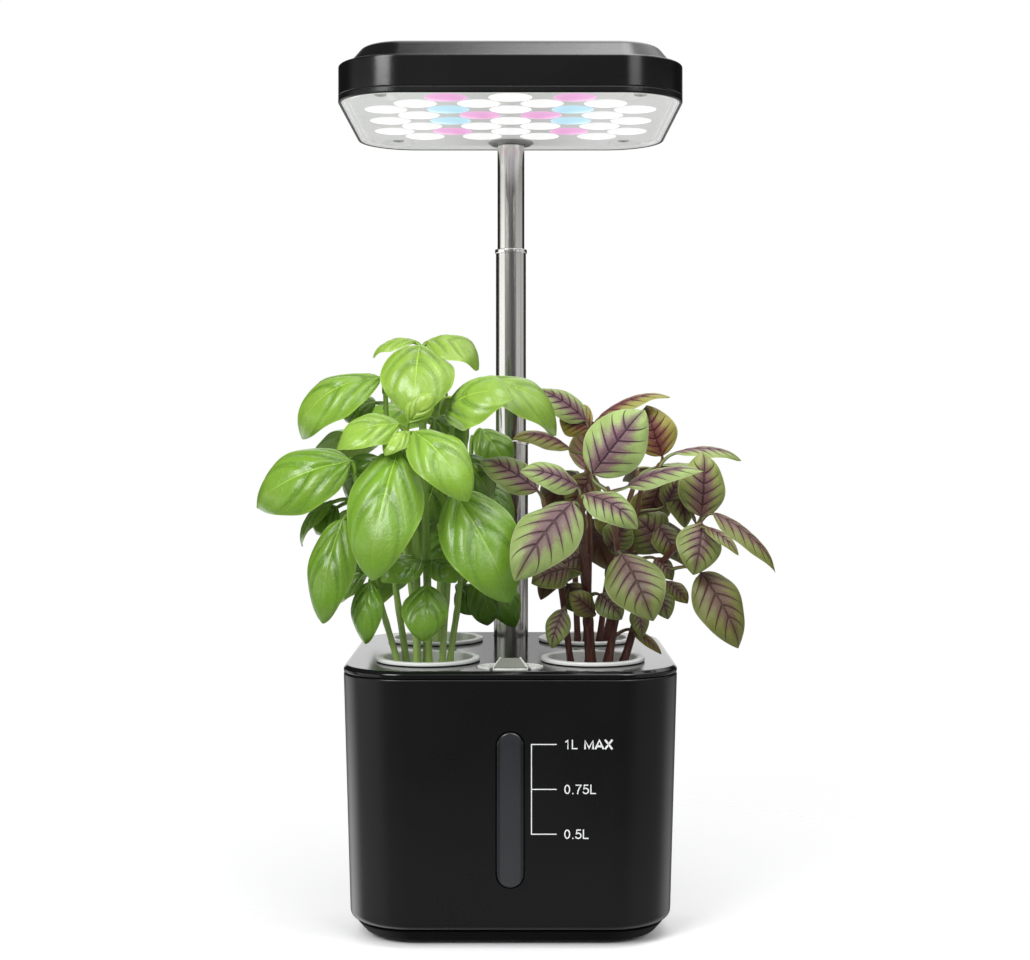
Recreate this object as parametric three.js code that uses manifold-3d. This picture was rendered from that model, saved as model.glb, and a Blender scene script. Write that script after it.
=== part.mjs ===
// Countertop hydroponic garden: a square water tank on a plinth, a lift-off deck with four net
// baskets of herbs, a submerged pump, and a square grow lamp on a telescoping pole.
// Millimetres, +Z up. The origin is on the floor under the middle of the tank, and -Y is the front.

import * as THREE from 'three';
import { mergeVertices } from 'three/addons/utils/BufferGeometryUtils.js';
import Module from 'manifold-3d';

const wasm = await Module();
wasm.setup();

// Fits
const fitGap = 0.3;
const overrun = 2;

// Tank
const bodyWidth = 130;
const bodyTaper = 5;
const bodyCorner = 25;
const tankHeight = 95.6;
const tankWall = 2.4;
const tankFloor = 2.6;
const tankEdge = 3;
const tankFillet = 3;
const tankRimRound = 0.6;

// Plinth, feet and the screws that hold the plinth
const plinthStep = 2.5;
const plinthTaper = 7;
const plinthHeight = 5.1;
const plinthWall = 2.2;
const plinthFloor = 3;
const plinthEdge = 1.5;
const footDrop = 1;
const footRadius = 6;
const footRecess = 1.2;
const footInset = 14;
const baseScrewInset = 12;
const baseScrewLength = 6;
const baseBossRadius = 3.6;

// One thread size serves every screw
const screwRadius = 1.2;
const screwHeadRadius = 2.6;
const screwHead = 1.3;

// Water window in the front wall
const windowWidth = 10;
const windowFoot = 16.9;
const windowHead = 20;
const windowProud = 0.5;
const windowFlange = 3;
const windowFlangeDepth = 1.6;
const windowSealDepth = 1;

// Deck
const deckThickness = 2.7;
const deckEdge = 3;
const deckEdgeDrop = 1.8;
const skirtDepth = 7.5;
const skirtWall = 1.8;

// Pods: four net baskets, each with a sponge
const podOpening = 35;
const podRingLand = 3;
const podRingHeight = 1.3;
const basketWall = 1.2;
const basketDepth = 42;
const basketTaper = 3.5;
const basketSlotCount = 8;
const basketRib = 6.3;
const basketSlotHeight = 26;
const spongeHeight = 25;

// Fill port at the front of the deck and its cap
const capSpread = 1.5;
const capDepth = 18;
const capPlate = 1.2;
const capRecess = 0.9;
const capInset = 4;
const capLedge = 2;
const capPlugDepth = 5;
const capPlugWall = 1.2;
const gripFrontShare = 0.49;
const gripBackShare = 0.298;
const gripFrontHeight = 0.5;
const gripBackHeight = 2.2;
const gripMargin = 1.2;

// Telescoping pole
const poleInset = 15;
const poleShown = 217.7;
const lowerTubeRadius = 7.6;
const lowerTubeWall = 0.7;
const lowerTubeShown = 85;
const middleTubeRadius = 6.7;
const middleTubeWall = 0.5;
const middleTubeShown = 84.5;
const middleTubeHeld = 20;
const upperTubeRadius = 6;
const upperTubeWall = 0.6;
const upperTubeHeld = 55;
const collarProud = 0.5;
const collarHeight = 1.5;
const collarLip = 1.1;
const collarSlack = 0.15;
const socketWall = 2.6;
const socketDepth = 18;
const socketFloor = 2;
const socketDrainRadius = 2.5;

// Control box under the deck, its board and its screws
const boxDepth = 16;
const boxWall = 1.6;
const boxCorner = 3;
const boxPoleGap = 1.5;
const boxPodGap = 1.8;
const boardThickness = 1.6;
const boardLift = 8;
const boxBossRadius = 2.6;

// Power socket, in a notch at the back of the tank
const jackWidth = 9;
const jackHeight = 14;
const jackPodGap = 0.8;
const jackBoreRadius = 2.8;
const jackBackWall = 5;
const jackPinRadius = 1;
const jackClearance = 5;
const jackFlange = 0.5;

// Pump, hanging on its riser
const pumpWidth = 34;
const pumpDepth = 24;
const pumpHeight = 20;
const pumpCorner = 4;
const pumpFloorGap = 1.4;
const chamberRadius = 8;
const chamberDepth = 14;
const pumpCoverDepth = 2;
const intakeCount = 6;
const intakeRadius = 1.5;
const nozzleRadius = 4.6;
const nozzleBore = 3;
const nozzleHeight = 7;
const riserWall = 1.2;
const riserOutletRadius = 2;
const impellerVanes = 6;
const impellerVaneDepth = 5;
const impellerVaneWidth = 1.2;
const impellerRotorRadius = 4.5;
const impellerShaftRadius = 1;
const impellerRunningGap = 0.6;

// Lamp head
const lampOverhang = 2;
const lampRimHeight = 2.2;
const lampRimLip = 0.7;
const lampRimLipHeight = 0.7;
const lampWall = 2.4;
const lampBandHeight = 12;
const lampBandRound = 0.9;
const lampCrownInset = 3.5;
const lampCrownHeight = 7.4;
const lampCrownSlope = 4.6;
const lampCrownRound = 1.9;
const lampTopWall = 2;

// Lens panel and what lies over it
const panelThickness = 2.2;
const lensMargin = 17.4;
const lensColumns = 4;
const lensGap = 0.27;
const lensHeight = 0.8;
const lensRowOffset = -2;
const dimpleRadius = 7.75;
const dimpleDepth = 2.1;
const dimpleFloorRadius = 4.2;
const dimpleWall = 1.4;
const lampScrewSide = 17;
const lampScrewEnd = 15;
const lampBossRadius = 3.2;
const ledBoardMargin = 8;
const ledBoardCorner = 30;
const ledBoardRise = 2.7;
const spreaderThickness = 1.6;
const pillarRadius = 3;
const pillarInset = 12;
const driverWidth = 58;
const driverLength = 44;
const driverLift = 2.6;
const anchorWall = 2.7;
const anchorFlange = 1.6;
const anchorFlangeHeight = 1.5;
const anchorHeight = 11.5;
const poleFlangeRadius = 10;
const poleFlangeHeight = 1.3;

// Button on the lamp
const buttonRadius = 6;
const buttonProud = 0.8;
const buttonTravel = 1.2;
const buttonFlange = 1.8;
const buttonFlangeHeight = 1.2;
const buttonStemRadius = 2;

// Plants
const foliageReach = 100;
const stemRise = 15;
const crownMargin = 6;
const crownHeight = 3;
const leafThickness = 1.3;
const petioleWidth = 2;
const petioleDrop = 3;
const broadLeafShare = 0.25;
const bladeRowShares = [0.15, 0.45, 0.78];
const cupShare = 0.3;
const rootShare = 0.96;
const stemTaperShare = 0.4;

// How finely the round shapes are stepped
const cornerSteps = 4;
const fineSteps = 18;
const roundSteps = 16;
const lensSteps = 8;
const smallSteps = 8;
const screwSteps = 6;
const footSteps = 12;
const windowSteps = 4;
const edgeSteps = 2;
const stemSides = 4;
const stemSteps = 3;

// Sizes that follow from the ones above
const bodyBaseWidth = bodyWidth - bodyTaper;
const windowHeight = tankHeight - windowFoot - windowHead;
const windowCentre = windowFoot + windowHeight / 2;
const plinthWidth = bodyBaseWidth - 2 * plinthStep;
const plinthBaseWidth = plinthWidth - plinthTaper;
const podPitch = bodyWidth / 2;
const podRingWidth = podOpening + 2 * podRingLand;
const basketFootRadius = podOpening / 2 - basketTaper;
const basketSlotWidth = 2 * basketFootRadius * Math.sin(Math.PI / basketSlotCount) - basketRib;
const crownRadius = podOpening / 2 - crownMargin;
const capWidth = podPitch - podRingWidth + capSpread;
const gripFrontWidth = capWidth * gripFrontShare;
const gripBackWidth = capWidth * gripBackShare;
const poleY = bodyWidth / 2 - poleInset;
const socketRadius = lowerTubeRadius + fitGap + socketWall;
const boxWidth = podPitch - podOpening - 2 * (basketWall + boxPodGap);
const riserRadius = nozzleRadius + fitGap + riserWall;
const boxFront = -(riserRadius + screwHeadRadius + boxBossRadius + boxWall + 2 * fitGap);
const boxLength = poleY - socketRadius - boxPoleGap - boxFront;
const jackLength = (bodyWidth - podPitch - podOpening) / 2 - basketWall - jackPodGap;
const jackBoreDepth = jackLength - jackBackWall;
const jackX = socketRadius + jackClearance + jackWidth / 2 - fitGap;
const lampWidth = bodyWidth + 2 * lampOverhang;
const lampCorner = bodyCorner;
const lampScrewX = lampWidth / 2 - lampScrewSide;
const lampScrewY = lampWidth / 2 - lampScrewEnd;
const lensPitch = (lampWidth / 2 - lensMargin) / lensColumns;
const lensRadius = lensPitch * Math.SQRT1_2 - lensGap;

// Heights of the main levels
const plinthTop = footDrop + plinthHeight;
const tankBottom = plinthTop + fitGap;
const tankTop = tankBottom + tankHeight;
const tankInside = tankBottom + tankFloor;
const deckBottom = tankTop + fitGap;
const deckTop = deckBottom + deckThickness;
const lampBottom = deckTop + poleShown;

// Finishes
const finishes = {
  blackShell: { color: 0x17181a, roughness: 0.5, metalness: 0 },
  blackGloss: { color: 0x121314, roughness: 0.22, metalness: 0 },
  smokedClear: { color: 0x3a3b3e, roughness: 0.15, metalness: 0 },
  greyRubber: { color: 0x55575a, roughness: 0.8, metalness: 0 },
  blackRubber: { color: 0x1b1b1b, roughness: 0.85, metalness: 0 },
  zincSteel: { color: 0xb4b6b8, roughness: 0.35, metalness: 1 },
  brushedSteel: { color: 0xc4c6c4, roughness: 0.25, metalness: 1 },
  whitePlastic: { color: 0xe6e7e4, roughness: 0.4, metalness: 0 },
  clearCap: { color: 0xd4d7d6, roughness: 0.2, metalness: 0 },
  whiteLens: { color: 0xf3f4f6, roughness: 0.2, metalness: 0 },
  greenBoard: { color: 0x1f5a34, roughness: 0.5, metalness: 0 },
  whiteBoard: { color: 0xe9e9e6, roughness: 0.5, metalness: 0 },
  aluminium: { color: 0xb9bcc0, roughness: 0.4, metalness: 1 },
  greyPlastic: { color: 0x6e7174, roughness: 0.5, metalness: 0 },
  sponge: { color: 0x3a2c20, roughness: 0.95, metalness: 0 },
  basilLeaf: { color: 0x5c9e2c, roughness: 0.45, metalness: 0 },
  amaranthLeaf: { color: 0x7d9a4e, roughness: 0.5, metalness: 0 },
};

const garden = new THREE.Group();

// Geometry helpers

// A closed mesh as a solid that can be cut and joined
function solidOf(geometry) {
  const bare = geometry.clone();
  for (const name of Object.keys(bare.attributes)) {
    if (name !== 'position') bare.deleteAttribute(name);
  }
  const merged = mergeVertices(bare);
  const numbers = { numProp: 3, vertProperties: merged.attributes.position.array };
  return new wasm.Manifold(new wasm.Mesh({ ...numbers, triVerts: new Uint32Array(merged.index.array) }));
}

// A solid as a mesh again
function geometryOf(solid) {
  const mesh = solid.getMesh();
  const geometry = new THREE.BufferGeometry();
  geometry.setAttribute('position', new THREE.BufferAttribute(new Float32Array(mesh.vertProperties), 3));
  geometry.setIndex(new THREE.BufferAttribute(new Uint32Array(mesh.triVerts), 1));
  geometry.computeVertexNormals();
  return geometry;
}

function join(...geometries) {
  return geometryOf(geometries.map(solidOf).reduce((whole, next) => whole.add(next)));
}

function cut(geometry, ...tools) {
  return geometryOf(tools.map(solidOf).reduce((whole, tool) => whole.subtract(tool), solidOf(geometry)));
}

function within(geometry, limit) {
  return geometryOf(solidOf(geometry).intersect(solidOf(limit)));
}

// A closed skin over a stack of rings of equal point counts, with a fan over each end
function skin(rings) {
  const count = rings[0].length;
  const ends = [rings[0], rings[rings.length - 1]];
  const middles = ends.map((ring) => {
    const sum = ring.reduce((total, point) => total.add(point), new THREE.Vector3());
    return sum.divideScalar(count);
  });
  const points = [...rings.flat(), ...middles];
  const faces = [];
  for (let level = 0; level < rings.length - 1; level += 1) {
    for (let i = 0; i < count; i += 1) {
      const here = level * count + i;
      const next = level * count + ((i + 1) % count);
      faces.push(here, next, next + count, here, next + count, here + count);
    }
  }
  const last = (rings.length - 1) * count;
  for (let i = 0; i < count; i += 1) {
    const j = (i + 1) % count;
    faces.push(points.length - 2, j, i);
    faces.push(points.length - 1, last + i, last + j);
  }
  return meshOf(points, faces);
}

function meshOf(points, faces) {
  const geometry = new THREE.BufferGeometry();
  geometry.setFromPoints(points);
  geometry.setIndex(faces);
  geometry.computeVertexNormals();
  return geometry;
}

// A rounded rectangle of points, counter-clockwise seen from above
function roundedRing(halfX, halfY, radius, z, steps = cornerSteps) {
  const ring = [];
  const corners = [[1, 1], [-1, 1], [-1, -1], [1, -1]];
  corners.forEach(([sideX, sideY], corner) => {
    for (let i = 0; i <= steps; i += 1) {
      const angle = (corner + i / steps) * Math.PI / 2;
      const x = sideX * (halfX - radius) + radius * Math.cos(angle);
      const y = sideY * (halfY - radius) + radius * Math.sin(angle);
      ring.push(new THREE.Vector3(x, y, z));
    }
  });
  return ring;
}

// A square block with round corners, from [half width, corner radius, height] at each level
function squareLoft(levels) {
  return skin(levels.map(([half, radius, z]) => roundedRing(half, half, radius, z)));
}

// A flat rounded plate
function plate(halfX, halfY, radius, bottom, top, centre = [0, 0]) {
  const rings = [bottom, top].map((z) => roundedRing(halfX, halfY, radius, z));
  return skin(rings).translate(centre[0], centre[1], 0);
}

// A block between two corners
function block(low, high) {
  const size = high.map((value, axis) => value - low[axis]);
  const box = new THREE.BoxGeometry(...size);
  return box.translate(...low.map((value, axis) => value + size[axis] / 2));
}

// A turned piece about a vertical axis, from [radius, height] points
function turned(profile, steps = roundSteps) {
  const points = profile.map(([radius, z]) => new THREE.Vector2(radius, z));
  return new THREE.LatheGeometry(points, steps).rotateX(Math.PI / 2);
}

function rod(radius, bottom, top, steps = roundSteps) {
  return turned([[0, bottom], [radius, bottom], [radius, top], [0, top]], steps);
}

function sleeve(inner, outer, bottom, top, steps = roundSteps) {
  return turned([[inner, bottom], [outer, bottom], [outer, top], [inner, top], [inner, bottom]], steps);
}

// A rod that lies along Y
function rodAlongY(radius, front, back, steps = roundSteps) {
  return rod(radius, front, back, steps).rotateX(-Math.PI / 2);
}

// A screw standing head down, with its head's underside at the given height
function screw(headBottom, length) {
  const headTop = headBottom + screwHead;
  const profile = [
    [0, headBottom],
    [screwHeadRadius, headBottom],
    [screwHeadRadius, headTop],
    [screwRadius, headTop],
    [screwRadius, headTop + length],
    [0, headTop + length],
  ];
  return turned(profile, screwSteps);
}

function place(group, name, geometry, finish) {
  const mesh = new THREE.Mesh(geometry, new THREE.MeshStandardMaterial(finish));
  mesh.name = name;
  group.add(mesh);
  return mesh;
}

function subgroup(x = 0, y = 0, z = 0) {
  const group = new THREE.Group();
  group.position.set(x, y, z);
  garden.add(group);
  return group;
}

// The four corners of a rectangle about the middle
function fourCorners(halfX, halfY, centreY = 0) {
  const signs = [[-1, -1], [1, -1], [1, 1], [-1, 1]];
  return signs.map(([signX, signY]) => [signX * halfX, centreY + signY * halfY]);
}

// Tank and base

// Half the tank's outer width at a height
function tankHalf(z) {
  const share = (z - tankBottom) / tankHeight;
  return THREE.MathUtils.lerp(bodyBaseWidth, bodyWidth, share) / 2;
}

// Where the front wall leans, a window piece leans with it
function leanWithWall(geometry) {
  const slope = (bodyWidth - bodyBaseWidth) / 2 / tankHeight;
  const lean = new THREE.Matrix4().makeShear(0, 0, 0, 0, 0, -slope);
  const centreZ = tankBottom + windowCentre;
  return geometry.applyMatrix4(lean).translate(0, -tankHalf(centreZ), centreZ);
}

// A stadium, round at both ends, extruded inward from the wall's face
function stadium(grow, front, back, bevel = 0) {
  const radius = windowWidth / 2 + grow;
  const straight = (windowHeight - windowWidth) / 2;
  const shape = new THREE.Shape();
  shape.absarc(0, straight, radius, 0, Math.PI);
  shape.absarc(0, -straight, radius, Math.PI, 2 * Math.PI);
  const settings = {
    depth: back - front - 2 * bevel,
    bevelEnabled: bevel > 0,
    bevelSize: bevel,
    bevelThickness: bevel,
    bevelOffset: -bevel,
    bevelSegments: 1,
    curveSegments: windowSteps,
  };
  return new THREE.ExtrudeGeometry(shape, settings).rotateX(Math.PI / 2).translate(0, back - bevel, 0);
}

function tankShell() {
  const baseHalf = bodyBaseWidth / 2;
  const topHalf = bodyWidth / 2;
  const levels = [];
  for (let i = 0; i <= edgeSteps; i += 1) {
    const angle = i / edgeSteps * Math.PI / 2;
    const inset = tankEdge * (1 - Math.sin(angle));
    levels.push([baseHalf - inset, bodyCorner - inset, tankBottom + tankEdge * (1 - Math.cos(angle))]);
  }
  levels.push([topHalf, bodyCorner, tankTop - tankRimRound]);
  levels.push([topHalf - tankRimRound, bodyCorner - tankRimRound, tankTop]);
  levels.push([topHalf - tankWall, bodyCorner - tankWall, tankTop]);
  const filletTop = tankInside + tankFillet;
  levels.push([tankHalf(filletTop) - tankWall, bodyCorner - tankWall, filletTop]);
  const floorInset = tankWall + tankFillet;
  levels.push([tankHalf(tankInside) - floorInset, bodyCorner - floorInset, tankInside]);
  let shell = squareLoft(levels);
  shell = cut(shell, leanWithWall(stadium(fitGap, -overrun, tankWall + overrun)));
  shell = cut(shell, powerNotch(tankTop + overrun));
  const bossBottom = footDrop + plinthFloor + fitGap;
  for (const [x, y] of baseScrewPlaces()) {
    const boss = rod(baseBossRadius, bossBottom, tankBottom + tankFloor / 2, smallSteps);
    shell = join(shell, boss.translate(x, y, 0));
    const bore = rod(screwRadius + fitGap, bossBottom - overrun, baseScrewTop() + fitGap, screwSteps);
    shell = cut(shell, bore.translate(x, y, 0));
  }
  return shell;
}

function baseScrewTop() {
  return footDrop + fitGap + screwHead + baseScrewLength;
}

function baseScrewPlaces() {
  const half = plinthBaseWidth / 2 - baseScrewInset;
  return fourCorners(half, half - footRadius * 2 - screwHeadRadius);
}

function footPlaces() {
  const half = plinthBaseWidth / 2 - footInset;
  return fourCorners(half, half);
}

function basePlinth() {
  const topHalf = plinthWidth / 2;
  const baseHalf = plinthBaseWidth / 2;
  const topCorner = bodyCorner - (bodyBaseWidth - plinthWidth) / 2 * 0.5;
  const inside = footDrop + plinthFloor;
  const levels = [
    [baseHalf - plinthEdge, topCorner - plinthEdge, footDrop],
    [baseHalf, topCorner, footDrop + plinthEdge],
    [topHalf, topCorner, plinthTop],
    [topHalf - plinthWall, topCorner - plinthWall, plinthTop],
    [baseHalf - plinthWall, topCorner - plinthWall, inside],
  ];
  const headRoom = footDrop + fitGap + screwHead + fitGap;
  const tools = footPlaces().map(([x, y]) => {
    const recess = rod(footRadius + fitGap, footDrop - overrun, footDrop + footRecess, footSteps);
    return recess.translate(x, y, 0);
  });
  for (const [x, y] of baseScrewPlaces()) {
    const counterbore = rod(screwHeadRadius + fitGap, footDrop - overrun, headRoom, screwSteps);
    const hole = rod(screwRadius + fitGap, footDrop - overrun, inside + overrun, screwSteps);
    tools.push(counterbore.translate(x, y, 0), hole.translate(x, y, 0));
  }
  return cut(squareLoft(levels), ...tools);
}

function windowLens() {
  const flangeFront = tankWall + windowSealDepth + 2 * fitGap;
  const body = stadium(0, -windowProud, flangeFront + windowFlangeDepth / 2, windowProud);
  const flange = stadium(windowFlange, flangeFront, flangeFront + windowFlangeDepth);
  return leanWithWall(join(body, flange));
}

function windowSeal() {
  const front = tankWall + fitGap;
  const outer = stadium(windowFlange - fitGap, front, front + windowSealDepth);
  const inner = stadium(fitGap, front - overrun, front + windowSealDepth + overrun);
  return leanWithWall(cut(outer, inner));
}

function buildTank() {
  const group = subgroup();
  place(group, 'tank_shell', tankShell(), finishes.blackShell);
  place(group, 'water_window', windowLens(), finishes.smokedClear);
  place(group, 'window_seal', windowSeal(), finishes.greyRubber);
  place(group, 'base_plinth', basePlinth(), finishes.blackShell);
  footPlaces().forEach(([x, y], i) => {
    const foot = rod(footRadius, 0, footDrop + footRecess - fitGap, footSteps);
    place(group, `rubber_foot_${i + 1}`, foot.translate(x, y, 0), finishes.blackRubber);
  });
  baseScrewPlaces().forEach(([x, y], i) => {
    const fastener = screw(footDrop + fitGap, baseScrewLength - fitGap);
    place(group, `base_screw_${i + 1}`, fastener.translate(x, y, 0), finishes.zincSteel);
  });
}

// Deck

function podPlaces() {
  return fourCorners(podPitch / 2, podPitch / 2);
}

const podNames = ['front_left', 'front_right', 'back_right', 'back_left'];
const capY = -(bodyWidth / 2 - capInset - capDepth / 2);
const skirtHalf = tankHalf(deckBottom - skirtDepth) - tankWall - fitGap;

// An oval block, such as the fill port's cap
function oval(width, depth, bottom, top) {
  return rod(1, bottom, top, fineSteps).scale(width / 2, depth / 2, 1);
}

function capRecessCut() {
  const wide = capWidth + 2 * fitGap;
  const deep = capDepth + 2 * fitGap;
  const recess = oval(wide, deep, deckTop - capRecess, deckTop + overrun);
  const port = oval(wide - 2 * capLedge, deep - 2 * capLedge, deckBottom - overrun, deckTop + overrun);
  return join(recess, port).translate(0, capY, 0);
}

// The notch that the power socket looks out of
function powerNotch(top) {
  const half = jackWidth / 2 + jackFlange + fitGap;
  const front = bodyWidth / 2 - tankWall - skirtWall - overrun;
  const bottom = deckBottom - jackHeight - 2 * fitGap;
  return block([jackX - half, front, bottom], [jackX + half, bodyWidth / 2 + overrun, top]);
}

function boxCentreY() {
  return poleY - socketRadius - boxPoleGap - boxLength / 2;
}

function boxScrewPlaces() {
  const inset = boxWall + fitGap + boxBossRadius;
  const reach = boxLength / 2 - inset;
  const side = boxWidth / 2 - inset;
  return [[-side, boxCentreY() - reach], [side, boxCentreY() + reach]];
}

function deckShell() {
  const half = bodyWidth / 2;
  const inner = skirtHalf - skirtWall;
  const skirtBottom = deckBottom - skirtDepth;
  const skirtCorner = bodyCorner - tankWall - fitGap;
  const levels = [
    [inner, skirtCorner - skirtWall, deckBottom],
    [inner, skirtCorner - skirtWall, skirtBottom],
    [skirtHalf, skirtCorner, skirtBottom],
    [skirtHalf, skirtCorner, deckBottom],
    [half, bodyCorner, deckBottom],
    [half, bodyCorner, deckTop - deckEdgeDrop],
    [half - deckEdge * 0.2, bodyCorner - deckEdge * 0.2, deckTop - deckEdgeDrop * 0.4],
    [half - deckEdge, bodyCorner - deckEdge, deckTop],
  ];
  let shell = squareLoft(levels);
  const socketBottom = deckBottom - socketDepth - socketFloor;
  const socket = rod(socketRadius, socketBottom, deckBottom + deckThickness / 2, fineSteps);
  shell = join(shell, socket.translate(0, poleY, 0));
  for (const [x, y] of boxScrewPlaces()) {
    const boss = rod(boxBossRadius, boxFloorTop() + fitGap, deckBottom + deckThickness / 2, smallSteps);
    shell = join(shell, boss.translate(x, y, 0));
  }
  const tools = [capRecessCut(), powerNotch(deckBottom)];
  const boreRadius = podOpening / 2 + basketWall + fitGap;
  for (const [x, y] of podPlaces()) {
    tools.push(rod(boreRadius, skirtBottom - overrun, deckTop + overrun).translate(x, y, 0));
  }
  const tubeBore = rod(lowerTubeRadius + fitGap, deckBottom - socketDepth, deckTop + overrun, fineSteps);
  tools.push(tubeBore.translate(0, poleY, 0));
  const drain = rod(socketDrainRadius, socketBottom - overrun, deckTop, smallSteps);
  tools.push(drain.translate(0, poleY, 0));
  for (const [x, y] of boxScrewPlaces()) {
    const bore = rod(screwRadius + fitGap, boxFloorTop() - overrun, deckBottom, screwSteps);
    tools.push(bore.translate(x, y, 0));
  }
  return cut(shell, ...tools);
}

function boxFloorTop() {
  return deckBottom - fitGap - boxDepth + boxWall;
}

function controlBox() {
  const top = deckBottom - fitGap;
  const bottom = top - boxDepth;
  const centreY = boxCentreY();
  const outer = plate(boxWidth / 2, boxLength / 2, boxCorner, bottom, top, [0, centreY]);
  const innerX = boxWidth / 2 - boxWall;
  const innerY = boxLength / 2 - boxWall;
  const corner = boxCorner - boxWall / 2;
  const hollow = plate(innerX, innerY, corner, boxFloorTop(), top + overrun, [0, centreY]);
  let box = cut(outer, hollow);
  const ledgeTop = bottom + boardLift - fitGap;
  const ledgeLength = boxLength / 2 - boxWall - 2 * boxBossRadius - 4 * fitGap;
  const ledgeY = centreY;
  for (const side of [-1, 1]) {
    const faces = [side * innerX - side * boxWall, side * innerX + side * boxWall / 2].sort((a, b) => a - b);
    const low = [faces[0], ledgeY - ledgeLength / 2, bottom + boxWall / 2];
    box = join(box, block(low, [faces[1], ledgeY + ledgeLength / 2, ledgeTop]));
  }
  const spigot = rod(nozzleRadius, bottom - nozzleHeight, bottom + boxWall / 2);
  box = join(box, spigot);
  const tools = boxScrewPlaces().map(([x, y]) => {
    const hole = rod(screwRadius + fitGap, bottom - overrun, top, screwSteps);
    return hole.translate(x, y, 0);
  });
  return cut(box, ...tools);
}

function controlBoard() {
  const bottom = deckBottom - fitGap - boxDepth + boardLift;
  const top = bottom + boardThickness;
  const halfX = boxWidth / 2 - boxWall - fitGap;
  const halfY = boxLength / 2 - boxWall - 2 * boxBossRadius - 3 * fitGap;
  const centreY = boxCentreY();
  const seated = top - boardThickness / 2;
  const room = deckBottom - fitGap - top;
  const chip = block(
    [-halfX / 2, centreY - halfX / 2, seated],
    [halfX / 2, centreY + halfX / 2, top + room / 4],
  );
  const plug = block(
    [-halfX / 2, centreY + halfY - halfX / 2, seated],
    [halfX / 2, centreY + halfY, top + room * 0.7],
  );
  const can = rod(halfX / 3, seated, top + room * 0.8, smallSteps);
  can.translate(0, centreY - halfY + halfX / 2, 0);
  const board = block([-halfX, centreY - halfY, bottom], [halfX, centreY + halfY, top]);
  return join(board, chip, plug, can);
}

function dcSocket() {
  const back = bodyWidth / 2;
  const top = deckBottom - fitGap;
  const bottom = top - jackHeight;
  const flangeFront = back - tankWall - skirtWall - fitGap;
  const halfX = jackWidth / 2;
  const halfFlange = halfX + jackFlange;
  const centreZ = (top + bottom) / 2;
  const body = block(
    [jackX - halfX, back - jackLength, bottom + jackFlange],
    [jackX + halfX, back - tankWall, top - jackFlange],
  );
  const flange = block([jackX - halfFlange, flangeFront, bottom], [jackX + halfFlange, back, top]);
  const bore = rodAlongY(jackBoreRadius, back - jackBoreDepth, back + overrun, footSteps);
  const pinFront = back - jackBoreDepth - jackPinRadius;
  const pin = rodAlongY(jackPinRadius, pinFront, back - jackPinRadius, smallSteps);
  const hollow = cut(join(body, flange), bore.translate(jackX, 0, centreZ));
  return join(hollow, pin.translate(jackX, 0, centreZ));
}

function boxScrew() {
  const headTop = deckBottom - fitGap - boxDepth - fitGap;
  return screw(headTop - screwHead, boxDepth - 2 * fitGap - boxWall);
}

// Pump

const pumpBottom = tankInside + pumpFloorGap;
const pumpTop = pumpBottom + pumpHeight;
const pumpFront = -pumpDepth / 2;
const chamberZ = pumpBottom + pumpHeight / 2;

function pumpHousing() {
  const body = plate(pumpWidth / 2, pumpDepth / 2, pumpCorner, pumpBottom, pumpTop);
  const nozzle = rod(nozzleRadius, pumpTop - overrun, pumpTop + nozzleHeight);
  const chamber = rodAlongY(chamberRadius, pumpFront - overrun, pumpFront + chamberDepth);
  const outlet = rod(nozzleBore, chamberZ, pumpTop + nozzleHeight + overrun, smallSteps);
  return cut(join(body, nozzle), chamber.translate(0, 0, chamberZ), outlet);
}

function pumpCover() {
  const back = pumpFront - fitGap;
  const front = back - pumpCoverDepth;
  const half = pumpWidth / 2 - pumpCorner / 2;
  const face = block([-half, front, pumpBottom], [half, back, pumpTop]);
  const ringRadius = (chamberRadius + impellerShaftRadius) / 2;
  const tools = [];
  for (let i = 0; i < intakeCount; i += 1) {
    const angle = i / intakeCount * 2 * Math.PI;
    const hole = rodAlongY(intakeRadius, front - overrun, back + overrun, smallSteps);
    tools.push(hole.translate(ringRadius * Math.cos(angle), 0, chamberZ + ringRadius * Math.sin(angle)));
  }
  return cut(face, ...tools);
}

function impeller() {
  const front = pumpFront + fitGap;
  const vaneBack = front + impellerVaneDepth;
  const rotorBack = pumpFront + chamberDepth - fitGap;
  const tipRadius = chamberRadius - impellerRunningGap;
  let wheel = join(
    rodAlongY(impellerRotorRadius, vaneBack - impellerVaneWidth, rotorBack, smallSteps),
    rodAlongY(impellerShaftRadius * 2, front, vaneBack, smallSteps),
  );
  for (let i = 0; i < impellerVanes; i += 1) {
    const halfWidth = impellerVaneWidth / 2;
    const vane = block([0, front, -halfWidth], [tipRadius, vaneBack, halfWidth]);
    wheel = join(wheel, vane.rotateY(i / impellerVanes * 2 * Math.PI));
  }
  return wheel.translate(0, 0, chamberZ);
}

function riserTube() {
  const inner = nozzleRadius + fitGap;
  const bottom = pumpTop + fitGap;
  const top = deckBottom - 2 * fitGap - boxDepth;
  const tube = sleeve(inner, riserRadius, bottom, top);
  const outlet = rodAlongY(riserOutletRadius, 0, riserRadius + overrun, screwSteps);
  return cut(tube, outlet.translate(0, 0, top - nozzleHeight - 2 * riserOutletRadius));
}

// Pole

const lowerTubeTop = deckTop + lowerTubeShown;
const middleTubeTop = lowerTubeTop + middleTubeShown;

function lowerTube() {
  const bottom = deckBottom - socketDepth + fitGap;
  const tube = sleeve(lowerTubeRadius - lowerTubeWall, lowerTubeRadius, bottom, lowerTubeTop, fineSteps);
  return tube.translate(0, poleY, 0);
}

function middleTube() {
  const inner = middleTubeRadius - middleTubeWall;
  const tube = sleeve(inner, middleTubeRadius, lowerTubeTop - middleTubeHeld, middleTubeTop, fineSteps);
  return tube.translate(0, poleY, 0);
}

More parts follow.
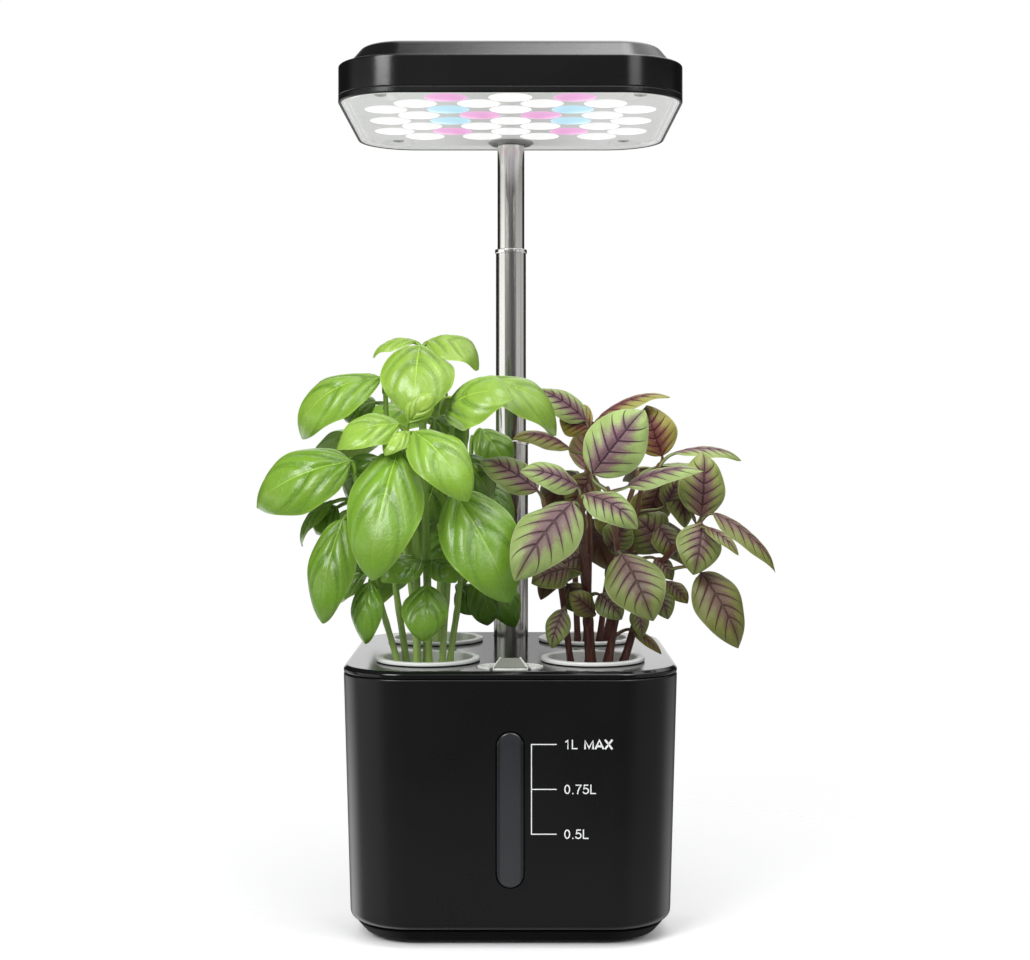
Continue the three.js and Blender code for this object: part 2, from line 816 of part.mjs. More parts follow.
function upperTube() {
  const inner = upperTubeRadius - upperTubeWall;
  const top = panelTop() + anchorHeight;
  const tube = sleeve(inner, upperTubeRadius, middleTubeTop - upperTubeHeld, top, fineSteps);
  return tube.translate(0, poleY, 0);
}

// The bright ring at the mouth of a tube, which guides the next tube
function tubeCollar(tubeRadius, nextRadius, tubeTop) {
  const outer = tubeRadius + collarSlack + collarProud;
  const lip = tubeRadius + collarSlack;
  const inner = nextRadius + collarSlack;
  const seat = tubeTop + collarSlack;
  const profile = [
    [inner, seat],
    [lip, seat],
    [lip, tubeTop - collarLip],
    [outer, tubeTop - collarLip],
    [outer, tubeTop + collarHeight],
    [inner, tubeTop + collarHeight],
    [inner, seat],
  ];
  return turned(profile, fineSteps).translate(0, poleY, 0);
}

// Fill cap

function fillCap() {
  const bottom = deckTop - capRecess + fitGap;
  const top = bottom + capPlate;
  const lid = oval(capWidth, capDepth, bottom, top);
  const plugWidth = capWidth - 2 * capLedge - 2 * fitGap;
  const plugDeep = capDepth - 2 * capLedge - 2 * fitGap;
  const plug = oval(plugWidth, plugDeep, bottom - capPlugDepth, bottom + capPlate / 2);
  const bowlWidth = plugWidth - 2 * capPlugWall;
  const bowl = oval(bowlWidth, plugDeep - 2 * capPlugWall, bottom - capPlugDepth - overrun, bottom);
  const front = -capDepth / 2 + gripMargin;
  const back = capDepth / 2 - gripMargin * 2;
  const seat = top - capPlate / 2;
  const corners = (frontZ, backZ) => [
    new THREE.Vector3(-gripFrontWidth / 2, front, frontZ),
    new THREE.Vector3(gripFrontWidth / 2, front, frontZ),
    new THREE.Vector3(gripBackWidth / 2, back, backZ),
    new THREE.Vector3(-gripBackWidth / 2, back, backZ),
  ];
  const grip = skin([corners(seat, seat), corners(top + gripFrontHeight, top + gripBackHeight)]);
  return cut(join(lid, plug, grip), bowl).translate(0, capY, 0);
}

function buildDeck() {
  const group = subgroup();
  place(group, 'deck_shell', deckShell(), finishes.blackGloss);
  place(group, 'control_box', controlBox(), finishes.blackShell);
  place(group, 'control_board', controlBoard(), finishes.greenBoard);
  place(group, 'dc_socket', dcSocket(), finishes.blackShell);
  boxScrewPlaces().forEach(([x, y], i) => {
    place(group, `box_screw_${i + 1}`, boxScrew().translate(x, y, 0), finishes.zincSteel);
  });
  place(group, 'pump_housing', pumpHousing(), finishes.greyPlastic);
  place(group, 'pump_cover', pumpCover(), finishes.greyPlastic);
  place(group, 'pump_impeller', impeller(), finishes.whitePlastic);
  place(group, 'riser_tube', riserTube(), finishes.whitePlastic);
  place(group, 'fill_cap', fillCap(), finishes.clearCap);
}

function buildPole() {
  const group = subgroup();
  place(group, 'lower_tube', lowerTube(), finishes.brushedSteel);
  const lowerCollar = tubeCollar(lowerTubeRadius, middleTubeRadius, lowerTubeTop);
  place(group, 'lower_tube_collar', lowerCollar, finishes.whitePlastic);
  place(group, 'middle_tube', middleTube(), finishes.brushedSteel);
  const middleCollar = tubeCollar(middleTubeRadius, upperTubeRadius, middleTubeTop);
  place(group, 'middle_tube_collar', middleCollar, finishes.whitePlastic);
  place(group, 'upper_tube', upperTube(), finishes.brushedSteel);
}

// Lamp

function panelTop() {
  return lampBottom + lampRimLipHeight + fitGap + panelThickness;
}

const crownTop = lampBottom + lampRimHeight + fitGap + lampBandHeight + lampCrownHeight;

function lampRim() {
  const outer = lampWidth / 2;
  const lipHalf = outer - lampWall - lampRimLip;
  const innerHalf = outer - lampWall;
  const lipTop = lampBottom + lampRimLipHeight;
  const top = lampBottom + lampRimHeight;
  const body = squareLoft([[outer, lampCorner, lampBottom], [outer, lampCorner, top]]);
  const wide = squareLoft([
    [innerHalf, lampCorner - lampWall, lipTop],
    [innerHalf, lampCorner - lampWall, top + overrun],
  ]);
  const lipCorner = lampCorner - lampWall - lampRimLip;
  const narrow = squareLoft([
    [lipHalf, lipCorner, lampBottom - overrun],
    [lipHalf, lipCorner, top + overrun],
  ]);
  return cut(body, wide, narrow);
}

function lampTopShell() {
  const half = lampWidth / 2;
  const bottom = lampBottom + lampRimHeight + fitGap;
  const bandTop = bottom + lampBandHeight;
  const slopeBottom = [half - lampCrownInset, lampCorner - lampCrownInset, bandTop];
  const slopeHalf = half - lampCrownInset - lampCrownSlope;
  const slopeCorner = lampCorner - lampCrownInset - lampCrownSlope;
  const outer = squareLoft([
    [half, lampCorner, bottom],
    [half, lampCorner, bandTop - lampBandRound],
    [half - lampBandRound * 0.7, lampCorner - lampBandRound * 0.7, bandTop - lampBandRound * 0.1],
    slopeBottom,
    [slopeHalf, slopeCorner, crownTop - lampCrownRound],
    [slopeHalf - lampCrownRound, slopeCorner - lampCrownRound, crownTop - lampCrownRound * 0.3],
    [slopeHalf - lampCrownRound * 2, slopeCorner - lampCrownRound * 2, crownTop],
  ]);
  const ceiling = crownTop - lampTopWall;
  const cavity = squareLoft([
    [half - lampWall, lampCorner - lampWall, bottom - overrun],
    [half - lampWall, lampCorner - lampWall, bandTop - lampWall],
    [slopeBottom[0] - lampWall, slopeBottom[1] - lampWall, bandTop - lampWall / 2],
    [slopeHalf - lampWall, slopeCorner - lampWall, ceiling - lampCrownRound],
    [slopeHalf - lampWall * 2, slopeCorner - lampWall * 2, ceiling],
  ]);
  const posts = [];
  for (const [x, y] of fourCorners(lampScrewX, lampScrewY)) {
    const boss = rod(lampBossRadius, cupTop() + fitGap, ceiling + lampTopWall / 4, smallSteps);
    posts.push(boss.translate(x, y, 0));
  }
  for (const [x, y] of pillarPlaces()) {
    const pillar = rod(pillarRadius, spreaderTop() + fitGap, ceiling + lampTopWall / 2, smallSteps);
    posts.push(pillar.translate(x, y, 0));
  }
  const shell = join(cut(outer, cavity), within(join(...posts), outer));
  const bores = fourCorners(lampScrewX, lampScrewY).map(([x, y]) => {
    const bore = rod(screwRadius + fitGap, cupTop() - overrun, lampScrewTop() + fitGap, screwSteps);
    return bore.translate(x, y, 0);
  });
  const buttonHole = rod(buttonRadius + fitGap, ceiling - overrun, crownTop + overrun);
  return cut(shell, ...bores, buttonHole);
}

// The lenses stand in a diagonal lattice: odd columns hold whole rows and even ones half rows
function lensPlaces() {
  const places = [];
  for (let column = -lensColumns; column <= lensColumns; column += 1) {
    const even = column % 2 === 0;
    const first = Math.abs(column) === lensColumns ? -1 : -2;
    const rows = even ? [first, 1] : [-1.5, 1.5];
    for (let row = rows[0]; row <= rows[1]; row += 1) {
      places.push([column * lensPitch, lensRowOffset + row * 2 * lensPitch]);
    }
  }
  return places;
}

function cupTop() {
  return lampBottom + lampRimLipHeight + fitGap + dimpleDepth + dimpleWall;
}

function lampScrewTop() {
  return cupTop() + fitGap + lampBandHeight / 2;
}

function lensPanel() {
  const bottom = lampBottom + lampRimLipHeight + fitGap;
  const half = lampWidth / 2 - lampWall - fitGap;
  const corner = lampCorner - lampWall - fitGap;
  let panel = squareLoft([[half, corner, bottom], [half, corner, panelTop()]]);
  const seat = bottom + panelThickness / 2;
  for (const [x, y] of lensPlaces()) {
    const dome = turned([
      [0, bottom - lensHeight],
      [lensRadius, bottom],
      [lensRadius, seat],
      [0, seat],
    ], lensSteps);
    panel = join(panel, dome.translate(x, y, 0));
  }
  const tubeHole = rod(upperTubeRadius + fitGap, bottom - overrun, panelTop() + overrun, fineSteps);
  const tools = [tubeHole.translate(0, poleY, 0)];
  for (const [x, y] of fourCorners(lampScrewX, lampScrewY)) {
    const cup = rod(dimpleFloorRadius + dimpleWall, seat, cupTop(), lensSteps);
    panel = join(panel, cup.translate(x, y, 0));
    const dimple = turned([
      [0, bottom - overrun],
      [dimpleRadius, bottom - overrun],
      [dimpleRadius, bottom],
      [dimpleFloorRadius, bottom + dimpleDepth],
      [0, bottom + dimpleDepth],
    ], lensSteps);
    const hole = rod(screwRadius + fitGap, bottom - overrun, cupTop() + overrun, screwSteps);
    tools.push(dimple.translate(x, y, 0), hole.translate(x, y, 0));
  }
  return cut(panel, ...tools);
}

function lampScrew() {
  const headTop = lampBottom + lampRimLipHeight + fitGap + dimpleDepth - fitGap;
  return screw(headTop - screwHead, lampScrewTop() - headTop);
}

// The board and the spreader share an outline that stops short of the pole
function boardOutline(bottom, top) {
  const front = -(lampWidth / 2 - lampWall - ledBoardMargin);
  const back = poleY - upperTubeRadius - fitGap - anchorWall - anchorFlange;
  const halfY = (back - front) / 2;
  return plate(-front, halfY, ledBoardCorner, bottom, top, [0, (front + back) / 2]);
}

function ledBoard() {
  const bottom = panelTop() + ledBoardRise;
  return boardOutline(bottom, bottom + boardThickness);
}

function spreaderBottom() {
  return panelTop() + ledBoardRise + boardThickness + fitGap;
}

function spreaderTop() {
  return spreaderBottom() + spreaderThickness;
}

function pillarPlaces() {
  const half = lampWidth / 2 - lampWall - ledBoardMargin - pillarInset;
  const back = poleY - upperTubeRadius - anchorWall - anchorFlange - pillarInset;
  return [[-half, -half], [half, -half], [half, back], [-half, back]];
}

function driverBoard() {
  const bottom = spreaderTop() + driverLift;
  const top = bottom + boardThickness;
  const halfX = driverWidth / 2;
  const halfY = driverLength / 2;
  const seated = top - boardThickness / 2;
  const room = crownTop - lampTopWall - top;
  const parts = [block([-halfX, -halfY, bottom], [halfX, halfY, top])];
  const legInset = pillarRadius + fitGap;
  for (const [x, y] of fourCorners(halfX - legInset, halfY - legInset)) {
    const leg = rod(pillarRadius / 2, spreaderTop() + fitGap, bottom + boardThickness / 2, smallSteps);
    parts.push(leg.translate(x, y, 0));
  }
  const coil = block([-halfX * 0.8, -halfY * 0.7, seated], [-halfX * 0.3, halfY * 0.2, top + room * 0.7]);
  const terminal = block([-halfX * 0.3, halfY * 0.6, seated], [halfX * 0.3, halfY * 0.9, top + room * 0.6]);
  const can = rod(halfX * 0.15, seated, top + room * 0.75, smallSteps);
  const reach = buttonStemRadius;
  const tact = block([-reach, -reach, seated], [reach, reach, tactTop()]);
  parts.push(coil, terminal, can.translate(halfX * 0.6, -halfY * 0.4, 0), tact);
  return join(...parts);
}

function tactTop() {
  return spreaderTop() + driverLift + boardThickness + 2 * buttonTravel;
}

function tubeAnchor() {
  const inner = upperTubeRadius + fitGap;
  const bottom = panelTop() + fitGap;
  const flangeTop = bottom + anchorFlangeHeight;
  const outer = inner + anchorWall;
  const profile = [
    [inner, bottom],
    [outer + anchorFlange - fitGap, bottom],
    [outer + anchorFlange - fitGap, flangeTop],
    [outer, flangeTop],
    [outer, panelTop() + anchorHeight - fitGap],
    [inner, panelTop() + anchorHeight - fitGap],
    [inner, bottom],
  ];
  return turned(profile).translate(0, poleY, 0);
}

function poleFlange() {
  const top = lampBottom + lampRimLipHeight;
  const ring = sleeve(upperTubeRadius + fitGap, poleFlangeRadius, top - poleFlangeHeight, top, fineSteps);
  return ring.translate(0, poleY, 0);
}

function powerButton() {
  const ceiling = crownTop - lampTopWall;
  const flangeTop = ceiling - fitGap;
  const flangeBottom = flangeTop - buttonFlangeHeight;
  const profile = [
    [0, tactTop() + buttonTravel + fitGap],
    [buttonStemRadius, tactTop() + buttonTravel + fitGap],
    [buttonStemRadius, flangeBottom],
    [buttonRadius + buttonFlange, flangeBottom],
    [buttonRadius + buttonFlange, flangeTop],
    [buttonRadius, flangeTop],
    [buttonRadius, crownTop + buttonProud * 0.6],
    [buttonRadius - buttonProud * 0.6, crownTop + buttonProud],
    [0, crownTop + buttonProud],
  ];
  return turned(profile, footSteps);
}

function buildLamp() {
  const group = subgroup();
  place(group, 'lamp_top_shell', lampTopShell(), finishes.blackShell);
  place(group, 'lamp_rim', lampRim(), finishes.blackShell);
  place(group, 'lens_panel', lensPanel(), finishes.whiteLens);
  place(group, 'led_board', ledBoard(), finishes.whiteBoard);
  place(group, 'heat_spreader', boardOutline(spreaderBottom(), spreaderTop()), finishes.aluminium);
  place(group, 'driver_board', driverBoard(), finishes.greenBoard);
  place(group, 'tube_anchor', tubeAnchor(), finishes.greyPlastic);
  place(group, 'pole_flange', poleFlange(), finishes.greyPlastic);
  fourCorners(lampScrewX, lampScrewY).forEach(([x, y], i) => {
    place(group, `lamp_screw_${i + 1}`, lampScrew().translate(x, y, 0), finishes.zincSteel);
  });
  place(group, 'power_button', powerButton(), finishes.blackGloss);
}

// Pods

const basketBottom = deckTop + fitGap - basketDepth;
const ringTop = deckTop + fitGap + podRingHeight;

// The basket's inner radius at a height
function basketInside(z) {
  const floor = basketBottom + basketWall;
  const share = (z - floor) / (ringTop - floor);
  return THREE.MathUtils.lerp(basketFootRadius - basketWall, podOpening / 2, share);
}

function basket() {
  const flangeBottom = deckTop + fitGap;
  const opening = podOpening / 2;
  const ring = podRingWidth / 2;
  const cup = turned([
    [0, basketBottom],
    [basketFootRadius, basketBottom],
    [opening + basketWall, flangeBottom],
    [ring, flangeBottom],
    [ring, ringTop - podRingHeight / 2],
    [ring - podRingHeight / 2, ringTop],
    [opening, ringTop],
    [basketFootRadius - basketWall, basketBottom + basketWall],
    [0, basketBottom + basketWall],
  ], roundSteps);
  const tools = [];
  const half = basketSlotWidth / 2;
  const low = [basketFootRadius * 0.5, -half, basketBottom - overrun];
  for (let i = 0; i < basketSlotCount; i += 1) {
    const slot = block(low, [ring, half, basketBottom + basketSlotHeight]);
    tools.push(slot.rotateZ((i + 0.25) / basketSlotCount * 2 * Math.PI));
  }
  return cut(cup, ...tools);
}

const spongeTop = basketBottom + basketWall + fitGap + spongeHeight;

function sponge() {
  const bottom = basketBottom + basketWall + fitGap;
  return turned([
    [0, bottom],
    [basketInside(bottom) - fitGap, bottom],
    [basketInside(spongeTop) - fitGap, spongeTop],
    [0, spongeTop],
  ], roundSteps);
}

// Plants. Every place in the four tables is a share of foliageReach from the middle of the pod's
// mouth: x to the right, y to the back, z up. A stem row is its foot, a point on the way and its
// top, then its radius. A leaf row is its stem, the foot and the tip of the blade, its width, the
// way that its face looks, and how far it arches.

const basilFrontStemShares = [
  [[0.00, -0.01], [0.00, -0.08, 0.338], [-0.03, -0.02, 1.236], 0.020],
  [[-0.04, -0.05], [-0.04, -0.13, 0.42], [-0.07, -0.24, 0.91], 0.017],
  [[-0.07, 0.01], [-0.14, -0.02, 0.42], [-0.17, -0.01, 1.103], 0.015],
  [[0.05, -0.03], [0.08, -0.06, 0.42], [0.10, -0.10, 0.971], 0.015],
  [[0.07, 0.03], [0.13, 0.04, 0.369], [0.15, 0.02, 1.073], 0.014],
  [[-0.08, -0.05], [-0.20, -0.10, 0.318], [-0.29, -0.08, 0.767], 0.014],
];

const basilFrontLeafShares = [
  [0, [-0.05, -0.02, 1.256], [-0.23, 0.00, 1.205], 0.13, [0, -0.3, 1], 0.16],
  [0, [0.00, -0.02, 1.256], [0.22, -0.06, 1.154], 0.22, [0, -0.5, 1], 0.22],
  [0, [-0.03, -0.07, 1.236], [-0.04, -0.30, 0.95], 0.29, [0, -1, 0.7], 0.16],
  [2, [-0.19, -0.02, 1.114], [-0.52, -0.01, 0.869], 0.24, [0, -0.8, 1], 0.24],
  [1, [-0.10, -0.27, 0.93], [-0.34, -0.34, 0.848], 0.18, [0, -1, 0.9], 0.16],
  [1, [-0.06, -0.26, 0.94], [0.03, -0.29, 1.052], 0.10, [0.3, -1, 0.2], 0.10],
  [1, [-0.06, -0.28, 0.899], [-0.15, -0.36, 0.818], 0.10, [0, -1, 0.9], 0.14],
  [1, [-0.04, -0.27, 0.899], [0.18, -0.42, 0.644], 0.22, [0.2, -1, 0.5], 0.18],
  [3, [0.08, -0.14, 0.981], [0.34, -0.30, 1.052], 0.26, [0.1, -1, 0.7], 0.18],
  [4, [0.17, 0.00, 1.093], [0.53, 0.08, 0.889], 0.24, [0.1, -0.7, 1], 0.22],
  [5, [-0.30, -0.09, 0.787], [-0.69, -0.06, 0.604], 0.29, [0, -1, 0.8], 0.14],
  [1, [-0.10, -0.29, 0.828], [-0.20, -0.46, 0.349], 0.29, [-0.1, -1, 0.1], 0.12],
  [3, [0.11, -0.18, 0.665], [0.34, -0.32, 0.257], 0.30, [0.1, -1, 0.3], 0.14],
  [5, [-0.32, -0.16, 0.563], [-0.40, -0.24, 0.165], 0.20, [-0.3, -1, 0.2], 0.12],
  [5, [-0.38, 0.06, 0.624], [-0.53, 0.14, 0.44], 0.12, [-0.5, -0.4, 0.6], 0.16],
  [0, [-0.02, -0.13, 0.4], [-0.17, -0.24, 0.338], 0.14, [0, -1, 0.8], 0.14],
  [0, [0.02, -0.12, 0.4], [0.12, -0.20, 0.328], 0.12, [0.2, -1, 0.8], 0.14],
  [0, [0.00, -0.17, 0.308], [0.00, -0.26, 0.099], 0.18, [0, -1, 0.2], 0.14],
  [5, [-0.22, -0.13, 0.318], [-0.24, -0.16, 0.077], 0.13, [-0.2, -1, 0.1], 0.14],
  [2, [-0.24, 0.06, 0.349], [-0.38, 0.12, 0.216], 0.13, [-0.4, -0.6, 0.7], 0.16],
  [4, [0.19, 0.10, 0.318], [0.24, 0.14, 0.11], 0.15, [0.4, -0.9, 0.3], 0.14],
];

const basilBackStemShares = [
  [[0.00, 0.01], [0.02, 0.06, 0.359], [0.00, 0.10, 1.052], 0.019],
  [[-0.05, 0.03], [-0.14, 0.12, 0.379], [-0.22, 0.14, 0.869], 0.016],
  [[0.05, -0.03], [0.13, -0.06, 0.359], [0.16, -0.12, 0.889], 0.015],
  [[0.02, 0.07], [0.05, 0.18, 0.318], [0.04, 0.26, 0.726], 0.015],
];

const basilBackLeafShares = [
  [0, [-0.02, 0.13, 1.063], [-0.20, 0.30, 0.991], 0.24, [0, 0.6, 1], 0.20],
  [0, [0.03, 0.13, 1.052], [0.10, 0.36, 0.889], 0.25, [0, 1, 0.8], 0.18],
  [0, [0.01, 0.06, 1.063], [-0.12, -0.18, 1.052], 0.20, [0, -0.4, 1], 0.20],
  [0, [-0.04, 0.09, 0.95], [-0.32, 0.00, 0.95], 0.22, [0, -0.5, 1], 0.20],
  [2, [0.20, -0.13, 0.91], [0.31, -0.17, 0.726], 0.17, [0.2, -1, 0.4], 0.16],
  [2, [0.19, -0.12, 0.685], [0.33, -0.20, 0.481], 0.18, [0.2, -1, 0.5], 0.14],
  [2, [0.20, -0.14, 0.318], [0.35, -0.22, 0.077], 0.17, [0.3, -1, 0.3], 0.14],
  [1, [-0.26, 0.15, 0.879], [-0.58, 0.26, 0.746], 0.27, [-0.1, 0.5, 1], 0.18],
  [1, [-0.23, 0.10, 0.767], [-0.44, -0.14, 0.685], 0.22, [-0.2, -0.6, 1], 0.16],
  [1, [-0.20, 0.16, 0.583], [-0.46, 0.32, 0.359], 0.26, [-0.4, 0.8, 0.7], 0.16],
  [3, [0.06, 0.29, 0.736], [0.22, 0.47, 0.522], 0.26, [0.2, 1, 0.6], 0.16],
  [3, [0.01, 0.26, 0.563], [-0.14, 0.46, 0.277], 0.27, [0, 1, 0.4], 0.14],
  [1, [-0.16, 0.16, 0.318], [-0.30, 0.30, 0.121], 0.18, [-0.3, 1, 0.5], 0.14],
];

const amaranthFrontStemShares = [
  [[0.00, -0.01], [-0.03, -0.08, 0.312], [-0.06, -0.24, 0.662], 0.024],
  [[0.05, -0.03], [0.10, -0.08, 0.352], [0.05, -0.16, 0.692], 0.016],
  [[0.08, 0.02], [0.24, 0.02, 0.332], [0.42, -0.07, 0.552], 0.018],
  [[-0.07, -0.02], [-0.13, -0.05, 0.312], [-0.20, -0.05, 0.652], 0.015],
  [[0.03, 0.06], [0.14, 0.06, 0.352], [0.20, 0.04, 0.712], 0.015],
];

const amaranthFrontLeafShares = [
  [1, [-0.01, -0.19, 0.742], [0.20, -0.15, 1.002], 0.269, [0.1, -1, 0.4], 0.12],
  [0, [-0.07, -0.25, 0.692], [-0.29, -0.30, 0.762], 0.13, [0, -1, 0.8], 0.12],
  [0, [-0.04, -0.26, 0.662], [0.16, -0.35, 0.542], 0.15, [0.2, -1, 0.8], 0.14],
  [0, [-0.09, -0.28, 0.632], [-0.31, -0.46, 0.352], 0.269, [-0.1, -1, 0.6], 0.12],
  [3, [-0.22, -0.06, 0.672], [-0.45, 0.04, 0.802], 0.15, [0, -1, 0.6], 0.12],
  [1, [0.13, -0.15, 0.692], [0.42, -0.20, 0.762], 0.12, [0, -0.7, 1], 0.10],
  [2, [0.42, -0.07, 0.572], [0.44, -0.02, 0.832], 0.213, [0.1, -1, 0.1], 0.08],
  [2, [0.42, -0.10, 0.542], [0.38, -0.20, 0.352], 0.202, [0.1, -1, 0.3], 0.12],
  [2, [0.47, -0.07, 0.582], [0.715, -0.12, 0.362], 0.12, [0.4, -0.7, 1], 0.10],
  [2, [0.43, -0.14, 0.532], [0.55, -0.22, 0.432], 0.06, [0.3, -1, 0.8], 0.12],
  [2, [0.42, -0.08, 0.352], [0.57, -0.16, 0.065], 0.224, [0.2, -1, 0.2], 0.12],
  [1, [0.10, -0.22, 0.432], [0.21, -0.36, 0.192], 0.258, [0.1, -1, 0.3], 0.12],
  [4, [0.27, 0.12, 0.672], [0.20, 0.20, 0.492], 0.19, [0.2, -1, 0.3], 0.10],
  [4, [0.26, 0.06, 0.532], [0.34, 0.02, 0.392], 0.12, [0.2, -1, 0.4], 0.12],
  [0, [-0.10, -0.14, 0.372], [-0.25, -0.18, 0.322], 0.13, [-0.1, -1, 0.5], 0.14],
  [0, [0.02, -0.14, 0.272], [0.11, -0.19, 0.182], 0.12, [0.2, -1, 0.4], 0.14],
  [3, [-0.12, -0.12, 0.212], [-0.17, -0.16, 0.065], 0.10, [-0.2, -1, 0.2], 0.12],
  [2, [0.17, -0.05, 0.212], [0.19, -0.10, 0.097], 0.08, [0.2, -1, 0.3], 0.12],
  [2, [0.29, -0.03, 0.312], [0.37, -0.08, 0.232], 0.08, [0.3, -1, 0.4], 0.12],
  [4, [0.29, 0.02, 0.612], [0.34, -0.02, 0.732], 0.09, [0.2, -1, 0.3], 0.10],
];

const amaranthBackStemShares = [
  [[0.00, -0.01], [0.01, -0.08, 0.372], [0.01, -0.16, 0.912], 0.018],
  [[0.05, -0.02], [0.16, -0.10, 0.372], [0.30, -0.22, 0.772], 0.016],
  [[0.04, 0.04], [0.12, 0.12, 0.352], [0.24, 0.14, 0.732], 0.016],
  [[-0.03, 0.06], [-0.04, 0.18, 0.352], [-0.02, 0.24, 0.712], 0.016],
];

const amaranthBackLeafShares = [
  [1, [0.31, -0.23, 0.802], [0.24, -0.21, 1.022], 0.213, [-0.2, -1, 0.1], 0.10],
  [0, [0.05, -0.20, 0.962], [0.34, -0.26, 1.062], 0.13, [0, -0.5, 1], 0.10],
  [0, [-0.01, -0.18, 0.952], [-0.23, -0.16, 1.092], 0.14, [0, -1, 0.7], 0.12],
  [0, [-0.08, -0.20, 0.832], [-0.32, -0.24, 0.882], 0.12, [0, -0.6, 1], 0.14],
  [1, [0.36, -0.24, 0.812], [0.65, -0.22, 0.792], 0.12, [0, -0.3, 1], 0.10],
  [2, [0.30, 0.14, 0.742], [0.62, 0.16, 0.672], 0.16, [0.1, 0.3, 1], 0.14],
  [2, [0.24, 0.18, 0.742], [0.34, 0.42, 0.612], 0.235, [0.2, 1, 0.8], 0.14],
  [2, [0.24, 0.13, 0.512], [0.50, 0.26, 0.292], 0.224, [0.4, 0.8, 0.6], 0.14],
  [3, [-0.03, 0.27, 0.722], [-0.16, 0.47, 0.532], 0.246, [-0.1, 1, 0.6], 0.14],
  [3, [0.01, 0.24, 0.732], [0.04, 0.32, 0.952], 0.202, [0, 1, 0.2], 0.10],
  [3, [0.00, 0.23, 0.512], [0.12, 0.44, 0.272], 0.235, [0.1, 1, 0.4], 0.14],
  [2, [0.12, 0.14, 0.332], [0.26, 0.30, 0.13], 0.16, [0.3, 1, 0.4], 0.12],
  [3, [-0.06, 0.18, 0.332], [-0.20, 0.34, 0.151], 0.16, [-0.3, 1, 0.4], 0.12],
];

// A blade's outline: the share of its half width at a share of its length
function bladeOutline(share, fullness) {
  const widest = fullness / (fullness + 1);
  const peak = widest ** fullness * (1 - widest);
  return share ** fullness * (1 - share) / peak;
}

// One leaf, from its root inside the stem to its tip, sharp at its edges. Its rows stand across the
// petiole and the midrib, and each row bends down towards both margins.
function leafSolid(root, foot, tip, width, face, arch, fullness) {
  const across = width > foliageReach * broadLeafShare ? 4 : 2;
  const along = tip.clone().sub(foot);
  const rise = 4 * arch * along.length();
  const lift = along.clone().cross(face).cross(along).normalize().multiplyScalar(rise);
  const line = [root, foot];
  const halves = [0, petioleWidth / 2];
  for (const share of bladeRowShares) {
    const middle = foot.clone().addScaledVector(along, share);
    line.push(middle.addScaledVector(lift, share * (1 - share)));
    halves.push(bladeOutline(share, fullness) * width / 2);
  }
  line.push(tip);
  const points = [root, tip];
  const rings = halves.slice(1).map((half, i) => {
    const middle = line[i + 1];
    const tangent = line[i + 2].clone().sub(line[i]);
    const side = tangent.clone().cross(face).normalize();
    const up = side.clone().cross(tangent).normalize();
    const upper = [];
    const lower = [];
    for (let j = 0; j <= across; j += 1) {
      const v = 2 * j / across - 1;
      const dip = -cupShare * half * v * v;
      const spot = middle.clone().addScaledVector(side, v * half).addScaledVector(up, dip);
      const swell = leafThickness / 2 * (1 - v * v);
      upper.push(points.push(spot.clone().addScaledVector(up, swell)) - 1);
      if (swell > 0) lower.unshift(points.push(spot.clone().addScaledVector(up, -swell)) - 1);
    }
    return [...upper, ...lower];
  });
  const faces = [];
  const count = rings[0].length;
  const last = rings[rings.length - 1];
  for (let i = 0; i < count; i += 1) {
    const j = (i + 1) % count;
    faces.push(0, rings[0][j], rings[0][i]);
    faces.push(1, last[i], last[j]);
    for (let row = 0; row < rings.length - 1; row += 1) {
      const here = rings[row];
      const next = rings[row + 1];
      faces.push(here[i], here[j], next[j], here[i], next[j], next[i]);
    }
  }
  return meshOf(points, faces);
}

// A tapering stem about a line of points, with level cross-sections
function stemSolid(line, radius) {
  const rings = line.map((centre, i) => {
    const reach = radius * (1 - stemTaperShare * i / stemSteps);
    const ring = [];
    for (let side = 0; side < stemSides; side += 1) {
      const angle = side / stemSides * 2 * Math.PI;
      const offset = new THREE.Vector3(reach * Math.cos(angle), reach * Math.sin(angle), 0);
      ring.push(centre.clone().add(offset));
    }
    return ring;
  });
  return skin(rings);
}

// The point of a stem that lies a petiole's drop below a leaf's foot
function rootOn(line, foot) {
  const height = foot.z - petioleDrop;
  const upper = Math.max(1, line.findIndex((point) => point.z > height));
  const step = height > line[stemSteps].z ? stemSteps : upper;
  const [low, high] = [line[step - 1], line[step]];
  const share = (height - low.z) / (high.z - low.z);
  return low.clone().lerp(high, Math.min(share, rootShare));
}

// A whole plant: a crown on its sponge, its stems and its leaves, all grown together
function plant(stemShares, leafShares, fullness, podX, podY) {
  const spot = ([x, y, z]) => {
    return new THREE.Vector3(podX + x * foliageReach, podY + y * foliageReach, deckTop + z * foliageReach);
  };
  const crownFoot = spongeTop + fitGap;
  const crown = turned([
    [0, crownFoot],
    [crownRadius, crownFoot],
    [crownRadius * 0.7, crownFoot + crownHeight],
    [0, crownFoot + crownHeight],
  ], smallSteps).translate(podX, podY, 0);
  const pieces = [crown];
  const lines = stemShares.map(([foot, way, top, radius]) => {
    const base = spot([...foot, 0]).setZ(crownFoot + crownHeight / 2);
    const mouth = base.clone().lerp(spot(way), stemRise / (spot(way).z - base.z)).setZ(base.z + stemRise);
    const line = new THREE.CatmullRomCurve3([base, mouth, spot(way), spot(top)]).getPoints(stemSteps);
    pieces.push(stemSolid(line, radius * foliageReach));
    return line;
  });
  for (const [stem, foot, tip, width, face, arch] of leafShares) {
    const root = rootOn(lines[stem], spot(foot));
    const look = new THREE.Vector3(...face);
    pieces.push(leafSolid(root, spot(foot), spot(tip), width * foliageReach, look, arch, fullness));
  }
  return join(...pieces);
}

